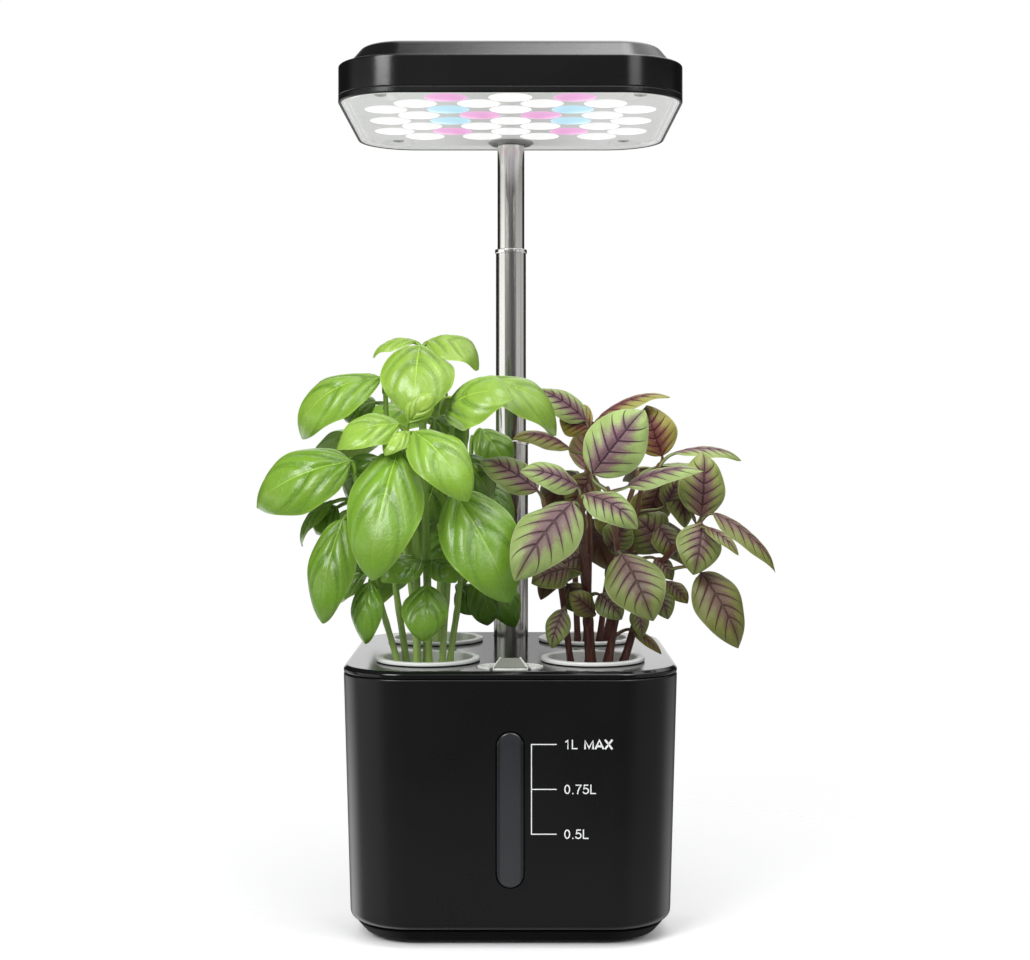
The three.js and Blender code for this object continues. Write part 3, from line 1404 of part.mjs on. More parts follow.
function buildPods() {
  const growth = [
    ['basil_plant_front', basilFrontStemShares, basilFrontLeafShares, 0.75, finishes.basilLeaf],
    ['amaranth_plant_front', amaranthFrontStemShares, amaranthFrontLeafShares, 0.9, finishes.amaranthLeaf],
    ['amaranth_plant_back', amaranthBackStemShares, amaranthBackLeafShares, 0.9, finishes.amaranthLeaf],
    ['basil_plant_back', basilBackStemShares, basilBackLeafShares, 0.75, finishes.basilLeaf],
  ];
  podPlaces().forEach(([x, y], i) => {
    const group = subgroup();
    place(group, `basket_${podNames[i]}`, basket().translate(x, y, 0), finishes.whitePlastic);
    place(group, `sponge_${podNames[i]}`, sponge().translate(x, y, 0), finishes.sponge);
    const [name, stems, leaves, fullness, finish] = growth[i];
    place(group, name, plant(stems, leaves, fullness, x, y), finish);
  });
}

buildTank();
buildDeck();
buildPole();
buildLamp();
buildPods();

export default garden;
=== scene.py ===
"""Countertop hydroponic garden: its pieces, finishes and stage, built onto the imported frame.

Shapes are worked out in millimetres in the frame's own place and turned to metres as each mesh is
made. A shape is either a stack of rings or a grid of two parameters, computed as whole arrays.
"""

import math

import bmesh
import bpy
import numpy as np
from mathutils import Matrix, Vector


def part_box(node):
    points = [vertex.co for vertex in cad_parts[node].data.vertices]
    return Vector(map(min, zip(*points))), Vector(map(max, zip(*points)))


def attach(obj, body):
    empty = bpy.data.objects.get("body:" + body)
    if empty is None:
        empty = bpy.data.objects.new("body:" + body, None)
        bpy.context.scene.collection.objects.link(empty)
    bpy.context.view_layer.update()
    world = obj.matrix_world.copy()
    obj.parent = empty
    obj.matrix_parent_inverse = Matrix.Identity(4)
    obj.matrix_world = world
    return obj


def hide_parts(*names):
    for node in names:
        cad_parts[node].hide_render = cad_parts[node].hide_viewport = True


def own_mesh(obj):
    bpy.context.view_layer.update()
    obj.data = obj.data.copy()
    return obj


bl_info = {
    "name": "Countertop Hydroponic Garden",
    "version": (1, 0, 0),
    "blender": (4, 5, 0),
    "location": "3D View > Sidebar > Garden",
    "description": "Adds the pieces, finishes and stage of a countertop hydroponic garden",
    "category": "Add Mesh",
}

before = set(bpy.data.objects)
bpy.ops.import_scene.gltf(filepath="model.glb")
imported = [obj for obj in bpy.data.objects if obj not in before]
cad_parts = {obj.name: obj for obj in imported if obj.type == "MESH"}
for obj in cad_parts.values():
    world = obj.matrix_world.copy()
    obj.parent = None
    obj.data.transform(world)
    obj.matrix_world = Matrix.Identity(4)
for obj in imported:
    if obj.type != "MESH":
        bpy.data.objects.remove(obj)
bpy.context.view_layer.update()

MM = 0.001
FOUR = (1, 2, 3, 4)
PODS = ("front_left", "front_right", "back_right", "back_left")


def reach_of(node):
    """The lowest and highest corner of a CAD node at rest, in millimetres."""
    return tuple(np.array(corner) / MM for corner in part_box(node))


def middle_of(node):
    """The middle of a CAD node's box, in millimetres."""
    low, high = reach_of(node)
    return (low + high) / 2


def spot_of(node):
    """The middle of a CAD node seen from above."""
    return middle_of(node)[:2]


def levels_of(node):
    """The heights of a CAD node's bottom and top."""
    low, high = reach_of(node)
    return low[2], high[2]


# Fixed sizes and levels, in millimetres, and the angle past which an edge is crisp, in degrees
TANK_RIM = reach_of("tank_shell")[1]
TANK_BOTTOM = levels_of("base_plinth")[1] + 0.3
BACK_WALL = (55, 70)
GAP = 0.3
WALL_LEAN = 2.5
FLOOR_THICKNESS = 2.6
WINDOW_RADIUS = 5
WINDOW_STRAIGHT = 24.35
WINDOW_MIDDLE = middle_of("water_window")[2]
DECK_THICKNESS = 2.7
UNDER_DECK, OVER_DECK = 90, 110
LID_LEVEL = 104.4
UNDER_PANEL, OVER_PANEL = 315, 330
PANEL_TOP = levels_of("led_board")[0] - 2.7
PANEL_BOTTOM = PANEL_TOP - 2.2
LENS_PITCH = 12.4
LENS_SHIFT = -2
UNDER_ROOF, OVER_ROOF = 338, 350
STEM_FOOT = 91.6
POD_MOUTH = 105.0
SHARP = 32


# ---------------------------------------------------------------- shapes


def rounded(rows, steps=6):
    """Profile rows of reach, corner radius, height and edge radius, with an arc at each row whose
    edge radius isn't zero. An arc is a rational quadratic curve between its two tangent points, and
    its middle weight is the cosine of half the turn, which makes it circular."""
    rows = np.asarray(rows, float)
    points, radii = rows[:, :3], rows[:, 3]
    before = points - np.roll(points, 1, axis=0)
    after = np.roll(points, -1, axis=0) - points
    before_length = np.hypot(before[:, 0], before[:, 2]) + 1e-9
    after_length = np.hypot(after[:, 0], after[:, 2]) + 1e-9
    heading = np.arctan2(before[:, 2], before[:, 0])
    turn = (np.arctan2(after[:, 2], after[:, 0]) - heading + np.pi) % (2 * np.pi) - np.pi
    half = np.abs(turn) / 2 * (radii > 0)
    cut = radii * np.tan(half)
    start = points - before * (cut / before_length)[:, None]
    end = points + after * (cut / after_length)[:, None]
    share = np.linspace(0, 1, steps + 1)[None, :, None]
    weight = np.cos(half)[:, None, None]
    first, second, third = (1 - share) ** 2, 2 * weight * share * (1 - share), share**2
    arcs = first * start[:, None] + second * points[:, None] + third * end[:, None]
    arcs /= first + second + third
    keep = (radii[:, None] > 0) | (np.arange(steps + 1) == 0)
    return arcs[keep]


def square_rings(profile, arc):
    """A ring for each profile row: a square that reaches that far, with quarter circles of the row's
    corner radius."""
    reach, corner, height = np.asarray(profile, float).T[:3, :, None]
    quarter = np.linspace(0, np.pi / 2, arc + 1)
    angle = (quarter + np.arange(4)[:, None] * np.pi / 2).ravel()
    side_x = np.repeat([1, -1, -1, 1], arc + 1)
    side_y = np.repeat([1, 1, -1, -1], arc + 1)
    x = side_x * (reach - corner) + corner * np.cos(angle)
    y = side_y * (reach - corner) + corner * np.sin(angle)
    return np.stack([x, y, height + 0 * x], axis=-1)


def turned_rings(profile, count=64, about=(0, 0), stretch=(1, 1)):
    """A circle for each profile row, stretched to an oval where asked, about a vertical axis."""
    reach, _, height = np.asarray(profile, float).T[:3, :, None]
    angle = np.linspace(0, 2 * np.pi, count, endpoint=False)
    x = about[0] + stretch[0] * reach * np.cos(angle)
    y = about[1] + stretch[1] * reach * np.sin(angle)
    return np.stack([x, y, height + 0 * x], axis=-1)


def window_rings(profile):
    """The window's stadium for each profile row, standing in the front wall and leaning with it. The
    row's reach grows the outline and its height runs out of the wall."""
    grow, _, out = np.asarray(profile, float).T[:3, :, None]
    half_turn = np.linspace(0, np.pi, 21)
    angle = np.concatenate([half_turn, half_turn + np.pi])
    lift = np.repeat([WINDOW_STRAIGHT, -WINDOW_STRAIGHT], len(half_turn))
    x = (WINDOW_RADIUS + grow) * np.cos(angle)
    z = WINDOW_MIDDLE + lift + (WINDOW_RADIUS + grow) * np.sin(angle)
    return np.stack([x, -wall_reach(z) - out, z], axis=-1)


def ring_faces(rows, columns, closed):
    """Quads between neighbouring rings, whose own points close on themselves."""
    row = np.arange(rows if closed else rows - 1)[:, None]
    column = np.arange(columns)
    right = (column + 1) % columns
    above = (row + 1) % rows
    here = row * columns
    there = above * columns
    quads = np.stack([here + column, here + right, there + right, there + column], axis=-1)
    return quads.reshape(-1, 4).tolist()


def skin(rings, closed=False):
    """Points and faces over a stack of rings. An open stack gets a face over each end, unless its end
    ring has shrunk to a point."""
    rows, columns = rings.shape[:2]
    faces = ring_faces(rows, columns, closed)
    if not closed:
        last = (rows - 1) * columns
        if np.ptp(rings[0], axis=0).max() > 1e-6:
            faces.append(list(range(columns))[::-1])
        if np.ptp(rings[-1], axis=0).max() > 1e-6:
            faces.append(list(range(last, last + columns)))
    return rings.reshape(-1, 3), faces


def block(low, high):
    """Points and faces of a block between two corners: each of its own corners takes its x, y and z
    from one of the two."""
    pick = [[x, y, z] for z in (0, 1) for x, y in ((0, 0), (1, 0), (1, 1), (0, 1))]
    points = np.where(pick, np.asarray(high, float), np.asarray(low, float))
    faces = [[3, 2, 1, 0], [4, 5, 6, 7], [0, 1, 5, 4], [1, 2, 6, 5], [2, 3, 7, 6], [3, 0, 4, 7]]
    return points, faces


def turned(rows, count=64, about=(0, 0), stretch=(1, 1), closed=False, steps=6):
    """The skin of a turned piece, from rows of radius, height and edge radius."""
    rows = [[radius, 0, height, edge] for radius, height, edge in rows]
    return skin(turned_rings(rounded(rows, steps), count, about, stretch), closed)


def plug(radius, low, high, spot=(0, 0), count=64):
    """A plain upright cylinder, for a bore."""
    return turned([[0, low, 0], [radius, low, 0], [radius, high, 0], [0, high, 0]], count, spot)


def squared(rows, arc=20, closed=False, steps=6):
    """The skin of a square piece with round corners, from rows of reach, corner, height and edge."""
    return skin(square_rings(rounded(rows, steps), arc), closed)


def mesh_of(name, *skins, finish=None, sharp=SHARP, outward=False, data=None):
    """One object from skins in millimetres, with doubles merged and edges sharper than the angle kept
    crisp. Data holds one row of numbers for each point, by attribute name."""
    points = np.concatenate([points for points, _ in skins])
    starts = np.cumsum([0] + [len(points) for points, _ in skins[:-1]]).tolist()
    faces = [[start + i for i in face] for start, (_, part) in zip(starts, skins) for face in part]
    mesh = bpy.data.meshes.new(name)
    mesh.from_pydata(points * MM, [], faces)
    for key, rows in (data or {}).items():
        mesh.attributes.new(key, "FLOAT_VECTOR", "POINT").data.foreach_set("vector", np.ravel(rows))
    shape = bmesh.new()
    shape.from_mesh(mesh)
    bmesh.ops.remove_doubles(shape, verts=shape.verts, dist=1e-7)
    if outward:
        bmesh.ops.recalc_face_normals(shape, faces=shape.faces)
    shape.to_mesh(mesh)
    shape.free()
    mesh.shade_smooth()
    mesh.set_sharp_from_angle(angle=math.radians(sharp))
    if finish:
        mesh.materials.append(finish)
    piece = bpy.data.objects.new(name, mesh)
    bpy.context.scene.collection.objects.link(piece)
    return piece


def settle(piece):
    """Works a piece's modifiers into its mesh."""
    graph = bpy.context.evaluated_depsgraph_get()
    made = piece.evaluated_get(graph)
    mesh = bpy.data.meshes.new_from_object(made, preserve_all_data_layers=True, depsgraph=graph)
    piece.modifiers.clear()
    spent, piece.data = piece.data, mesh
    mesh.name = piece.name
    bpy.data.meshes.remove(spent)
    return piece


def carve(piece, *skins):
    """Cuts closed skins out of a piece."""
    cutters = [mesh_of("cutter", cutter, outward=True) for cutter in skins]
    for cutter in cutters:
        cut = piece.modifiers.new("Carve", "BOOLEAN")
        cut.object, cut.solver, cut.operation = cutter, "EXACT", "DIFFERENCE"
    settle(piece)
    for cutter in cutters:
        mesh = cutter.data
        bpy.data.objects.remove(cutter)
        bpy.data.meshes.remove(mesh)
    piece.data.set_sharp_from_angle(angle=math.radians(SHARP))
    return piece


def flatten_shading(piece):
    """Lets the larger faces set the shading, so that flats stay flat beside their rounded edges."""
    even = piece.modifiers.new("Even shading", "WEIGHTED_NORMAL")
    even.keep_sharp = True
    even.weight = 80
    return settle(piece)


def seat(piece, body, slot, *nodes):
    """Puts a finished piece on its body and in place of its CAD nodes; the slot is not used."""
    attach(piece, body)
    if nodes:
        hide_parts(*nodes)


def fit(name, body, slot, node, finish, *skins, cut=(), even=True, **options):
    """Makes a piece from its skins, cuts what is given out of it, evens its shading and seats it."""
    piece = mesh_of(name, *skins, finish=finish, **options)
    if cut:
        carve(piece, *cut)
    seat(flatten_shading(piece) if even else piece, body, slot, node)


# ---------------------------------------------------------------- finishes


def add_node(tree, kind, inputs=None, **settings):
    """Adds a node, gives it its settings, links or fills its inputs, and returns its outputs."""
    node = tree.nodes.new(kind)
    for key, value in settings.items():
        setattr(node, key, value)
    for key, value in (inputs or {}).items():
        value = value.socket if isinstance(value, Value) else value
        if isinstance(value, bpy.types.NodeSocket):
            tree.links.new(value, node.inputs[key])
        else:
            node.inputs[key].default_value = value
    return node.outputs


def math_method(operation):
    """A method of Value that makes a Math node."""
    return lambda self, *others: self.math(operation, *others)


class Value:
    """A number that varies over a surface. Sums, products and powers of it become Math nodes."""

    def __init__(self, tree, socket):
        self.tree = tree
        self.socket = socket

    def math(self, operation, *others):
        inputs = dict(enumerate((self, *others)))
        return Value(self.tree, add_node(self.tree, "ShaderNodeMath", inputs, operation=operation)[0])

    __add__ = math_method("ADD")
    __sub__ = math_method("SUBTRACT")
    __mul__ = math_method("MULTIPLY")
    __truediv__ = math_method("DIVIDE")
    __pow__ = math_method("POWER")
    __abs__ = math_method("ABSOLUTE")
    at_most = math_method("MINIMUM")
    at_least = math_method("MAXIMUM")

    def __rsub__(self, other):
        return self.math("MULTIPLY_ADD", -1.0, other)

    def ripple(self):
        """How far the value is from the middle of its own step of 1."""
        return abs(self.math("FRACT") - 0.5)

    def span(self, low, high, start=0.0, end=1.0, smooth=False):
        """The value from low to high carried onto start to end, and held beyond them."""
        ends = {"Value": self, "From Min": low, "From Max": high, "To Min": start, "To Max": end}
        way = "SMOOTHSTEP" if smooth else "LINEAR"
        outputs = add_node(self.tree, "ShaderNodeMapRange", ends, interpolation_type=way)
        return Value(self.tree, outputs["Result"])

    def fall(self, low, high, smooth=False):
        """1 up to low, then down to 0 at high."""
        return self.span(low, high, 1.0, 0.0, smooth)


class Finish:
    """A material in the making, with short ways to add its patterns."""

    def __init__(self, name, colour, roughness, metallic=0.0, **sockets):
        self.material = bpy.data.materials.new(name)
        self.material.use_nodes = True
        self.tree = self.material.node_tree
        self.shader = self.tree.nodes["Principled BSDF"]
        self.shader.inputs["Base Color"].default_value = (*colour, 1)
        self.shader.inputs["Roughness"].default_value = roughness
        self.shader.inputs["Metallic"].default_value = metallic
        for key, value in sockets.items():
            self.shader.inputs[key.replace("_", " ")].default_value = value
        self.place = self.add("TexCoord")["Object"]

    def add(self, kind, inputs=None, **settings):
        return add_node(self.tree, f"ShaderNode{kind}", inputs, **settings)

    def axes(self, socket=None):
        """The three numbers of a vector, such as the place on the object."""
        outputs = self.add("SeparateXYZ", {0: socket or self.place})
        return [Value(self.tree, output) for output in outputs]

    def attribute(self, name):
        """The three numbers that the mesh holds under a name."""
        return self.axes(self.add("Attribute", attribute_name=name)["Vector"])

    def noise(self, scale, detail=2.0, stretch=None, rough=0.5):
        """Noise on the place on the object, multiplied along each axis by the stretch."""
        place = self.place
        if stretch:
            place = self.add("Mapping", {"Scale": stretch, "Vector": place})["Vector"]
        inputs = {"Scale": scale, "Detail": detail, "Roughness": rough, "Vector": place}
        return Value(self.tree, self.add("TexNoise", inputs)["Fac"])

    def cells(self, scale, feature="F1"):
        """The distance in a pattern of cells."""
        inputs = {"Scale": scale, "Vector": self.place}
        return Value(self.tree, self.add("TexVoronoi", inputs, feature=feature)["Distance"])

    def blend(self, share, first, second):
        """A colour between two colours, each of which is three numbers or another blend."""
        ends = (end if isinstance(end, bpy.types.NodeSocket) else (*end, 1) for end in (first, second))
        return self.add("Mix", dict(zip((0, 6, 7), (share, *ends))), data_type="RGBA")[2]

    def layered(self, colour, *layers):
        """A colour under layers, each with the share in which it shows and its own colour."""
        for share, layer in layers:
            colour = self.blend(share, colour, layer)
        return colour

    def mottle(self, share, colour, low, high):
        """Varies a colour between two strengths of it."""
        self.wear("Base Color", self.blend(share, tinted(colour, low), tinted(colour, high)))

    def roughen(self, value, *span):
        """Varies the roughness with a span of the value."""
        self.wear("Roughness", value.span(*span))

    def wear(self, socket, value):
        """Gives one of the shader's sockets a value or a colour that varies."""
        value = value.socket if isinstance(value, Value) else value
        self.tree.links.new(value, self.shader.inputs[socket])

    def relief(self, height, depth):
        """Bump from a height of 0 to 1, as deep as the depth in millimetres."""
        inputs = {"Strength": 1.0, "Distance": depth * MM, "Height": height}
        self.wear("Normal", self.add("Bump", inputs)["Normal"])

    def mix_shaders(self, share, first, second):
        """Lets the surface go from one shader to another by a share."""
        mix = self.add("MixShader", {0: share, 1: first, 2: second})[0]
        self.tree.links.new(mix, self.tree.nodes["Material Output"].inputs["Surface"])


def tinted(colour, share):
    """A colour times a share, held between 0 and 1."""
    return tuple(min(1.0, max(0.0, part * share)) for part in colour)


def moulded(name, colour, roughness, grain=0.012, size=2600, drift=0.05, **sockets):
    """Moulded plastic or rubber: a fine grain, a slow drift of gloss, and a faint drift of colour."""
    finish = Finish(name, colour, roughness, **sockets)
    slow = finish.noise(28, detail=3)
    fine = finish.noise(size, detail=2)
    finish.mottle(slow, colour, 0.9, 1.1)
    finish.roughen(slow + fine * 0.5, 0.4, 1.1, roughness - drift, roughness + drift)
    finish.relief(fine, grain)
    return finish.material


def drawn_steel(name, colour, roughness):
    """Polished tube with the long fine lines that drawing leaves along it."""
    finish = Finish(name, colour, roughness, metallic=1.0)
    lines = finish.noise(1, detail=4, stretch=(2600, 2600, 9))
    bands = finish.noise(1, detail=2, stretch=(420, 420, 1.5))
    finish.mottle(bands.span(0.35, 0.65), colour, 0.8, 1.12)
    finish.roughen(lines, 0.3, 0.7, roughness - 0.06, roughness + 0.1)
    finish.relief(lines, 0.01)
    return finish.material


def plated_steel(name, colour):
    """Zinc-plated screws: cloudy plating with small scratches."""
    finish = Finish(name, colour, 0.35, metallic=1.0)
    cloud = finish.noise(900, detail=4)
    scratch = finish.noise(1, detail=3, stretch=(5200, 700, 3000))
    finish.mottle(cloud, colour, 0.75, 1.15)
    finish.roughen(cloud, 0.3, 0.7, 0.25, 0.5)
    finish.relief(scratch, 0.02)
    return finish.material


def rolled_aluminium(name, colour):
    """The lamp's heat spreader: rolling lines along X."""
    finish = Finish(name, colour, 0.4, metallic=1.0)
    lines = finish.noise(1, detail=4, stretch=(30, 3200, 3200))
    finish.mottle(lines, colour, 0.8, 1.15)
    finish.roughen(lines, 0.3, 0.7, 0.3, 0.5)
    finish.relief(lines, 0.012)
    return finish.material


def circuit_board(name, colour, board_top):
    """Solder mask with copper runs under it, and dark parts above the board's face."""
    finish = Finish(name, colour, 0.42)
    x, y, z = finish.axes()
    runs = (x * 420).ripple().at_most((y * 330).ripple())
    patch = finish.cells(220)
    mask = runs.fall(0.05, 0.09) * patch.span(0.2, 0.6)
    copper = tuple(part * 1.6 + 0.03 for part in colour)
    face = finish.blend(mask, colour, copper)
    above = z.span(board_top * MM, (board_top + 0.12) * MM)
    dark = finish.blend(finish.noise(600), (0.012, 0.012, 0.013), (0.03, 0.03, 0.032))
    finish.wear("Base Color", finish.blend(above, face, dark))
    finish.roughen(above, 0, 1, 0.35, 0.55)
    finish.relief(mask, 0.05)
    return finish.material


def lamp_board(name, colour):
    """White board with a square chip under each lens."""
    finish = Finish(name, colour, 0.45)
    x, y, _ = finish.axes()
    steps = 1 / (2 * LENS_PITCH * MM)
    chips = None
    for shift in (0.0, 0.5):
        across = (x * steps + (0.5 + shift)).ripple()
        down = ((y - LENS_SHIFT * MM) * steps + (0.5 + shift)).ripple()
        chip = across.at_least(down)
        chips = chips.at_most(chip) if chips else chip
    edge = chips.fall(0.055, 0.062)
    glow = chips.fall(0.035, 0.04)
    speck = finish.noise(700)
    base = finish.blend(speck, tinted(colour, 0.94), tinted(colour, 1.04))
    base = finish.blend(edge, base, (0.62, 0.6, 0.55))
    finish.wear("Base Color", finish.blend(glow, base, (0.8, 0.62, 0.12)))
    finish.roughen(edge, 0, 1, 0.45, 0.25)
    finish.relief(edge, 0.1)
    return finish.material


def cap_plastic(name, colour, cap):
    """Clear frosted cap: pale, with painted shade as a dark band along each side of the grip, where the
    shaded recess shows through. The bands slant with the grip's sides."""
    finish = Finish(name, colour, 0.22, Specular_IOR_Level=0.5)
    x, y, _ = finish.axes()
    side = y.span((cap[1] - 7.8) * MM, (cap[1] + 5.4) * MM, 6.25 * MM, 3.8 * MM)
    off = abs(x - cap[0] * MM) - side
    # Painted shade: a dark band along each side of the grip, where the shaded recess shows through
    band = off.span(0.3 * MM, 0.5 * MM) * off.fall(1.5 * MM, 2.1 * MM, smooth=True)
    cloud = finish.noise(420, detail=4)
    body = finish.blend(cloud.span(0.3, 0.7), tinted(colour, 0.85), tinted(colour, 1.12))
    finish.wear("Base Color", finish.blend(band, body, tinted(colour, 0.12)))
    finish.roughen(cloud, 0.3, 0.7, 0.16, 0.34)
    finish.relief(cloud, 0.05)
    return finish.material


def lens_glow(name, white, pink, blue):
    """Lit lenses. The first number of the glow attribute picks the white, pink or blue of a lens and the
    second is the distance from its middle."""
    finish = Finish(name, white, 0.25)
    kind, middle, _ = finish.attribute("glow")
    pink_share = abs(kind - 1.0).fall(0.0, 0.5)
    blue_share = abs(kind - 2.0).fall(0.0, 0.5)
    rings = (middle * 7.0).ripple()
    lit = finish.blend(blue_share, finish.blend(pink_share, white, pink), blue)
    finish.wear("Base Color", finish.blend(rings, (0.06, 0.06, 0.06), (0.09, 0.09, 0.09)))
    finish.wear("Emission Color", finish.blend(middle.span(0.6, 1.0, 0.0, 0.12), lit, (1, 1, 1)))
    finish.shader.inputs["Emission Strength"].default_value = 0.93
    finish.roughen(rings, 0.0, 0.5, 0.18, 0.3)
    finish.relief(rings, 0.04)
    return finish.material


def seed_sponge(name, colour):
    """Open-cell growing sponge: dark pores, painted shade in their hollows, between paler walls; damp
    and algae-green in places.
    """
    finish = Finish(name, colour, 0.9)
    pores = finish.cells(900)
    small = finish.cells(2100)
    damp = finish.noise(140, detail=3)
    # Painted shade: the pores are darkened as hollows in shade, against paler walls
    wall = (pores + small * 0.5).span(0.15, 0.75)
    body = finish.blend(wall, tinted(colour, 0.25), tinted(colour, 1.7))
    finish.wear("Base Color", finish.blend(damp.span(0.55, 0.75, 0.0, 0.5), body, (0.03, 0.045, 0.01)))
    finish.roughen(damp, 0.4, 0.7, 0.95, 0.6)
    finish.relief(wall, 0.6)
    return finish.material


def green_stem(name, low, high, low_height, high_height):
    """A ribbed stem whose colour changes from its foot to its top."""
    finish = Finish(name, high, 0.4)
    _, _, z = finish.axes()
    cloud = finish.noise(260, detail=3)
    ribs = finish.noise(1, detail=2, stretch=(1500, 1500, 60))
    share = (z + (cloud - 0.5) * 0.03).span(low_height * MM, high_height * MM, smooth=True)
    body = finish.blend(share, low, high)
    finish.wear("Base Color", finish.blend(ribs.span(0.35, 0.65, 0.0, 0.35), body, tinted(high, 1.35)))
    finish.roughen(cloud, 0.3, 0.7, 0.32, 0.5)
    finish.relief(ribs, 0.12)
    return finish.material


def vein_lines(along, across, kind, width, last):
    """Side veins as a value: 1 on a vein and 0 between veins. A vein leaves the midrib at equal steps of
    the length and sweeps forward with a power of the distance from the midrib. None starts past the
    last share."""
    blade = BLADES[kind]
    start = along - across ** blade["bend"] * blade["sweep"]
    off = (start * blade["pairs"] + 0.5).ripple()
    return (1.0 - off / width).span(0.0, 1.0, smooth=True) * start.fall(last - 0.05, last + 0.03)


def basil_leaf(name, deep, fresh, young):
    """Glossy green blade with a thin pale midrib and a few long side veins, each with a darker fold
    beside it that is painted shade; the swells between are lightened in patches as a painted highlight,
    and lower leaves are darkened as painted shade. The blade attribute holds the share of the length,
    the side from -1 to 1 and the width; look holds how old the leaf is, which also darkens leaves
    further in as painted shade, and the underside."""
    finish = Finish(name, fresh, 0.34, Specular_IOR_Level=0.4, Coat_Weight=0.55, Coat_Roughness=0.22)
    along, side, size = finish.attribute("blade")
    age_and_shade, _, under = finish.attribute("look")
    across = abs(side)
    reach = across.fall(0.6, 0.92)
    grown = size.span(8.0, 24.0, 0.3, 1.0)
    veins = vein_lines(along - 0.08, across, "basil", 0.03, 0.42) * reach * grown
    # The folds beside the side veins drive a real bump and, through this mask, painted shade
    crease_and_shade = vein_lines(along - 0.07, across, "basil", 0.3, 0.42) * across.fall(0.5, 1.0)
    netting = finish.cells(430, feature="DISTANCE_TO_EDGE").fall(0.0, 0.12)
    rib = across.fall(0.012, 0.03, smooth=True)
    cloud = finish.noise(90, detail=3)
    _, _, z = finish.axes()
    body = finish.layered(
        deep,
        # How old a leaf is, partly painted shade: leaves further in get lower values and darker greens
        (age_and_shade.span(0.0, 0.6), fresh),
        (age_and_shade.span(0.55, 1.0), young),
        (cloud.span(0.35, 0.65, 0.0, 0.45), tinted(deep, 1.3)),
        # Painted highlight: the swells between the folds are lightened in patches
        ((1.0 - crease_and_shade) * cloud.span(0.3, 0.7, 0.0, 0.4), young),
        # Painted shade: the folds beside the side veins are darkened
        (crease_and_shade * grown * 0.3, tinted(deep, 1.1)),
        (netting * 0.1, tinted(young, 1.1)),
        (across.span(0.94, 1.0, 0.0, 0.4), tinted(young, 1.2)),
        (veins * 0.5, tinted(young, 1.3)),
        (rib * along.span(0.2, 0.9, 0.75, 0.2), tinted(young, 1.35)),
        (under * 0.5, tinted(young, 0.8)),
        # Painted shade: the lower a leaf hangs, below 190 mm, the darker it is painted
        (z.span(0.11, 0.19, 0.6, 0.0), (0.045, 0.14, 0.004)),
    )
    finish.wear("Base Color", body)
    finish.roughen(under * 0.25 + cloud * 0.12, 0.0, 0.4, 0.27, 0.6)
    finish.relief(crease_and_shade * -0.8 + veins.at_least(rib) * 0.35 - netting * 0.12, 0.4)
    through = finish.add("BsdfTranslucent", {"Color": body})[0]
    finish.mix_shaders(0.2, finish.shader.outputs[0], through)
    return finish.material


def amaranth_leaf(name, pale, olive, purple, dark):
    """Matt blade, green at its margins and mottled purple about its midrib, with dark sunken side veins
    that thin out towards the margin; lower leaves are darkened as painted shade. Look holds how olive
    the green is, which is partly painted shade on leaves further in and lower down, how red the middle
    is, and the underside."""
    finish = Finish(name, pale, 0.42, Specular_IOR_Level=0.45)
    along, side, _ = finish.attribute("blade")
    shade, warmth, under = finish.attribute("look")
    across = abs(side)
    mottle = finish.noise(1500, detail=5, rough=0.75)
    cloud = finish.noise(170, detail=3)
    width = (1.0 - across) * 0.15 + 0.015
    veins = vein_lines(along, across, "amaranth", width, 0.72) * across.fall(0.72, 0.96)
    halo = vein_lines(along, across, "amaranth", 0.5, 0.72)
    rib = across.fall(0.012, 0.045, smooth=True) * along.span(0.9, 1.0, 1.0, 0.3)
    heart = 1.0 - across / (along * -0.55 + 0.92)
    heart = heart + (cloud - 0.5) * 0.5 + (mottle - 0.5) * 1.5 + halo * 0.32
    heart = heart.span(0.1, 0.85, smooth=True) * along.span(0.62, 1.0, 1.0, 0.2)
    line = veins.at_least(rib)
    _, _, z = finish.axes()
    green = finish.layered(
        pale,
        # The olive green, given more to leaves further in and lower down, is partly painted shade
        (shade, olive),
        (cloud.span(0.35, 0.7, 0.0, 0.4), tinted(olive, 1.2)),
        (mottle.span(0.5, 0.7, 0.0, 0.4), tinted(pale, 1.25)),
        (warmth * 0.7, (0.34, 0.24, 0.03)),
    )
    middle = finish.layered(
        purple,
        (warmth, (0.17, 0.02, 0.014)),
        (shade * 0.75, finish.blend(warmth, (0.1, 0.035, 0.03), (0.12, 0.02, 0.012))),
        (mottle.span(0.48, 0.66, 0.0, 0.6), tinted(purple, 1.9)),
    )
    body = finish.layered(
        green,
        (heart * 0.9, middle),
        (across.span(0.0, 0.3, 0.55, 0.0) * mottle.span(0.4, 0.6, 1.0, 0.4), dark),
        (line * 0.9, finish.blend(warmth, dark, (0.09, 0.008, 0.008))),
        (across.span(0.95, 0.99, 0.0, 0.7), (0.5, 0.56, 0.3)),
        (under * 0.8, finish.blend(across, (0.15, 0.012, 0.02), (0.16, 0.1, 0.05))),
        # Painted shade: the lower a leaf hangs, below 195 mm, the darker it is painted
        (z.span(0.12, 0.195, 0.55, 0.0), (0.06, 0.052, 0.01)),
    )
    finish.wear("Base Color", body)
    finish.roughen(cloud * 0.2 + mottle * 0.2, 0.1, 0.3, 0.34, 0.52)
    finish.relief(line * -0.9 + mottle * 0.3, 0.45)
    through = finish.add("BsdfTranslucent", {"Color": body})[0]
    finish.mix_shaders(0.12, finish.shader.outputs[0], through)
    return finish.material


# ---------------------------------------------------------------- settings


def length(name, description, default):
    """A size in millimetres that the user may change."""
    description += ", in millimetres"
    return bpy.props.FloatProperty(
        name=name, description=description, default=default, min=0.0, precision=2
    )


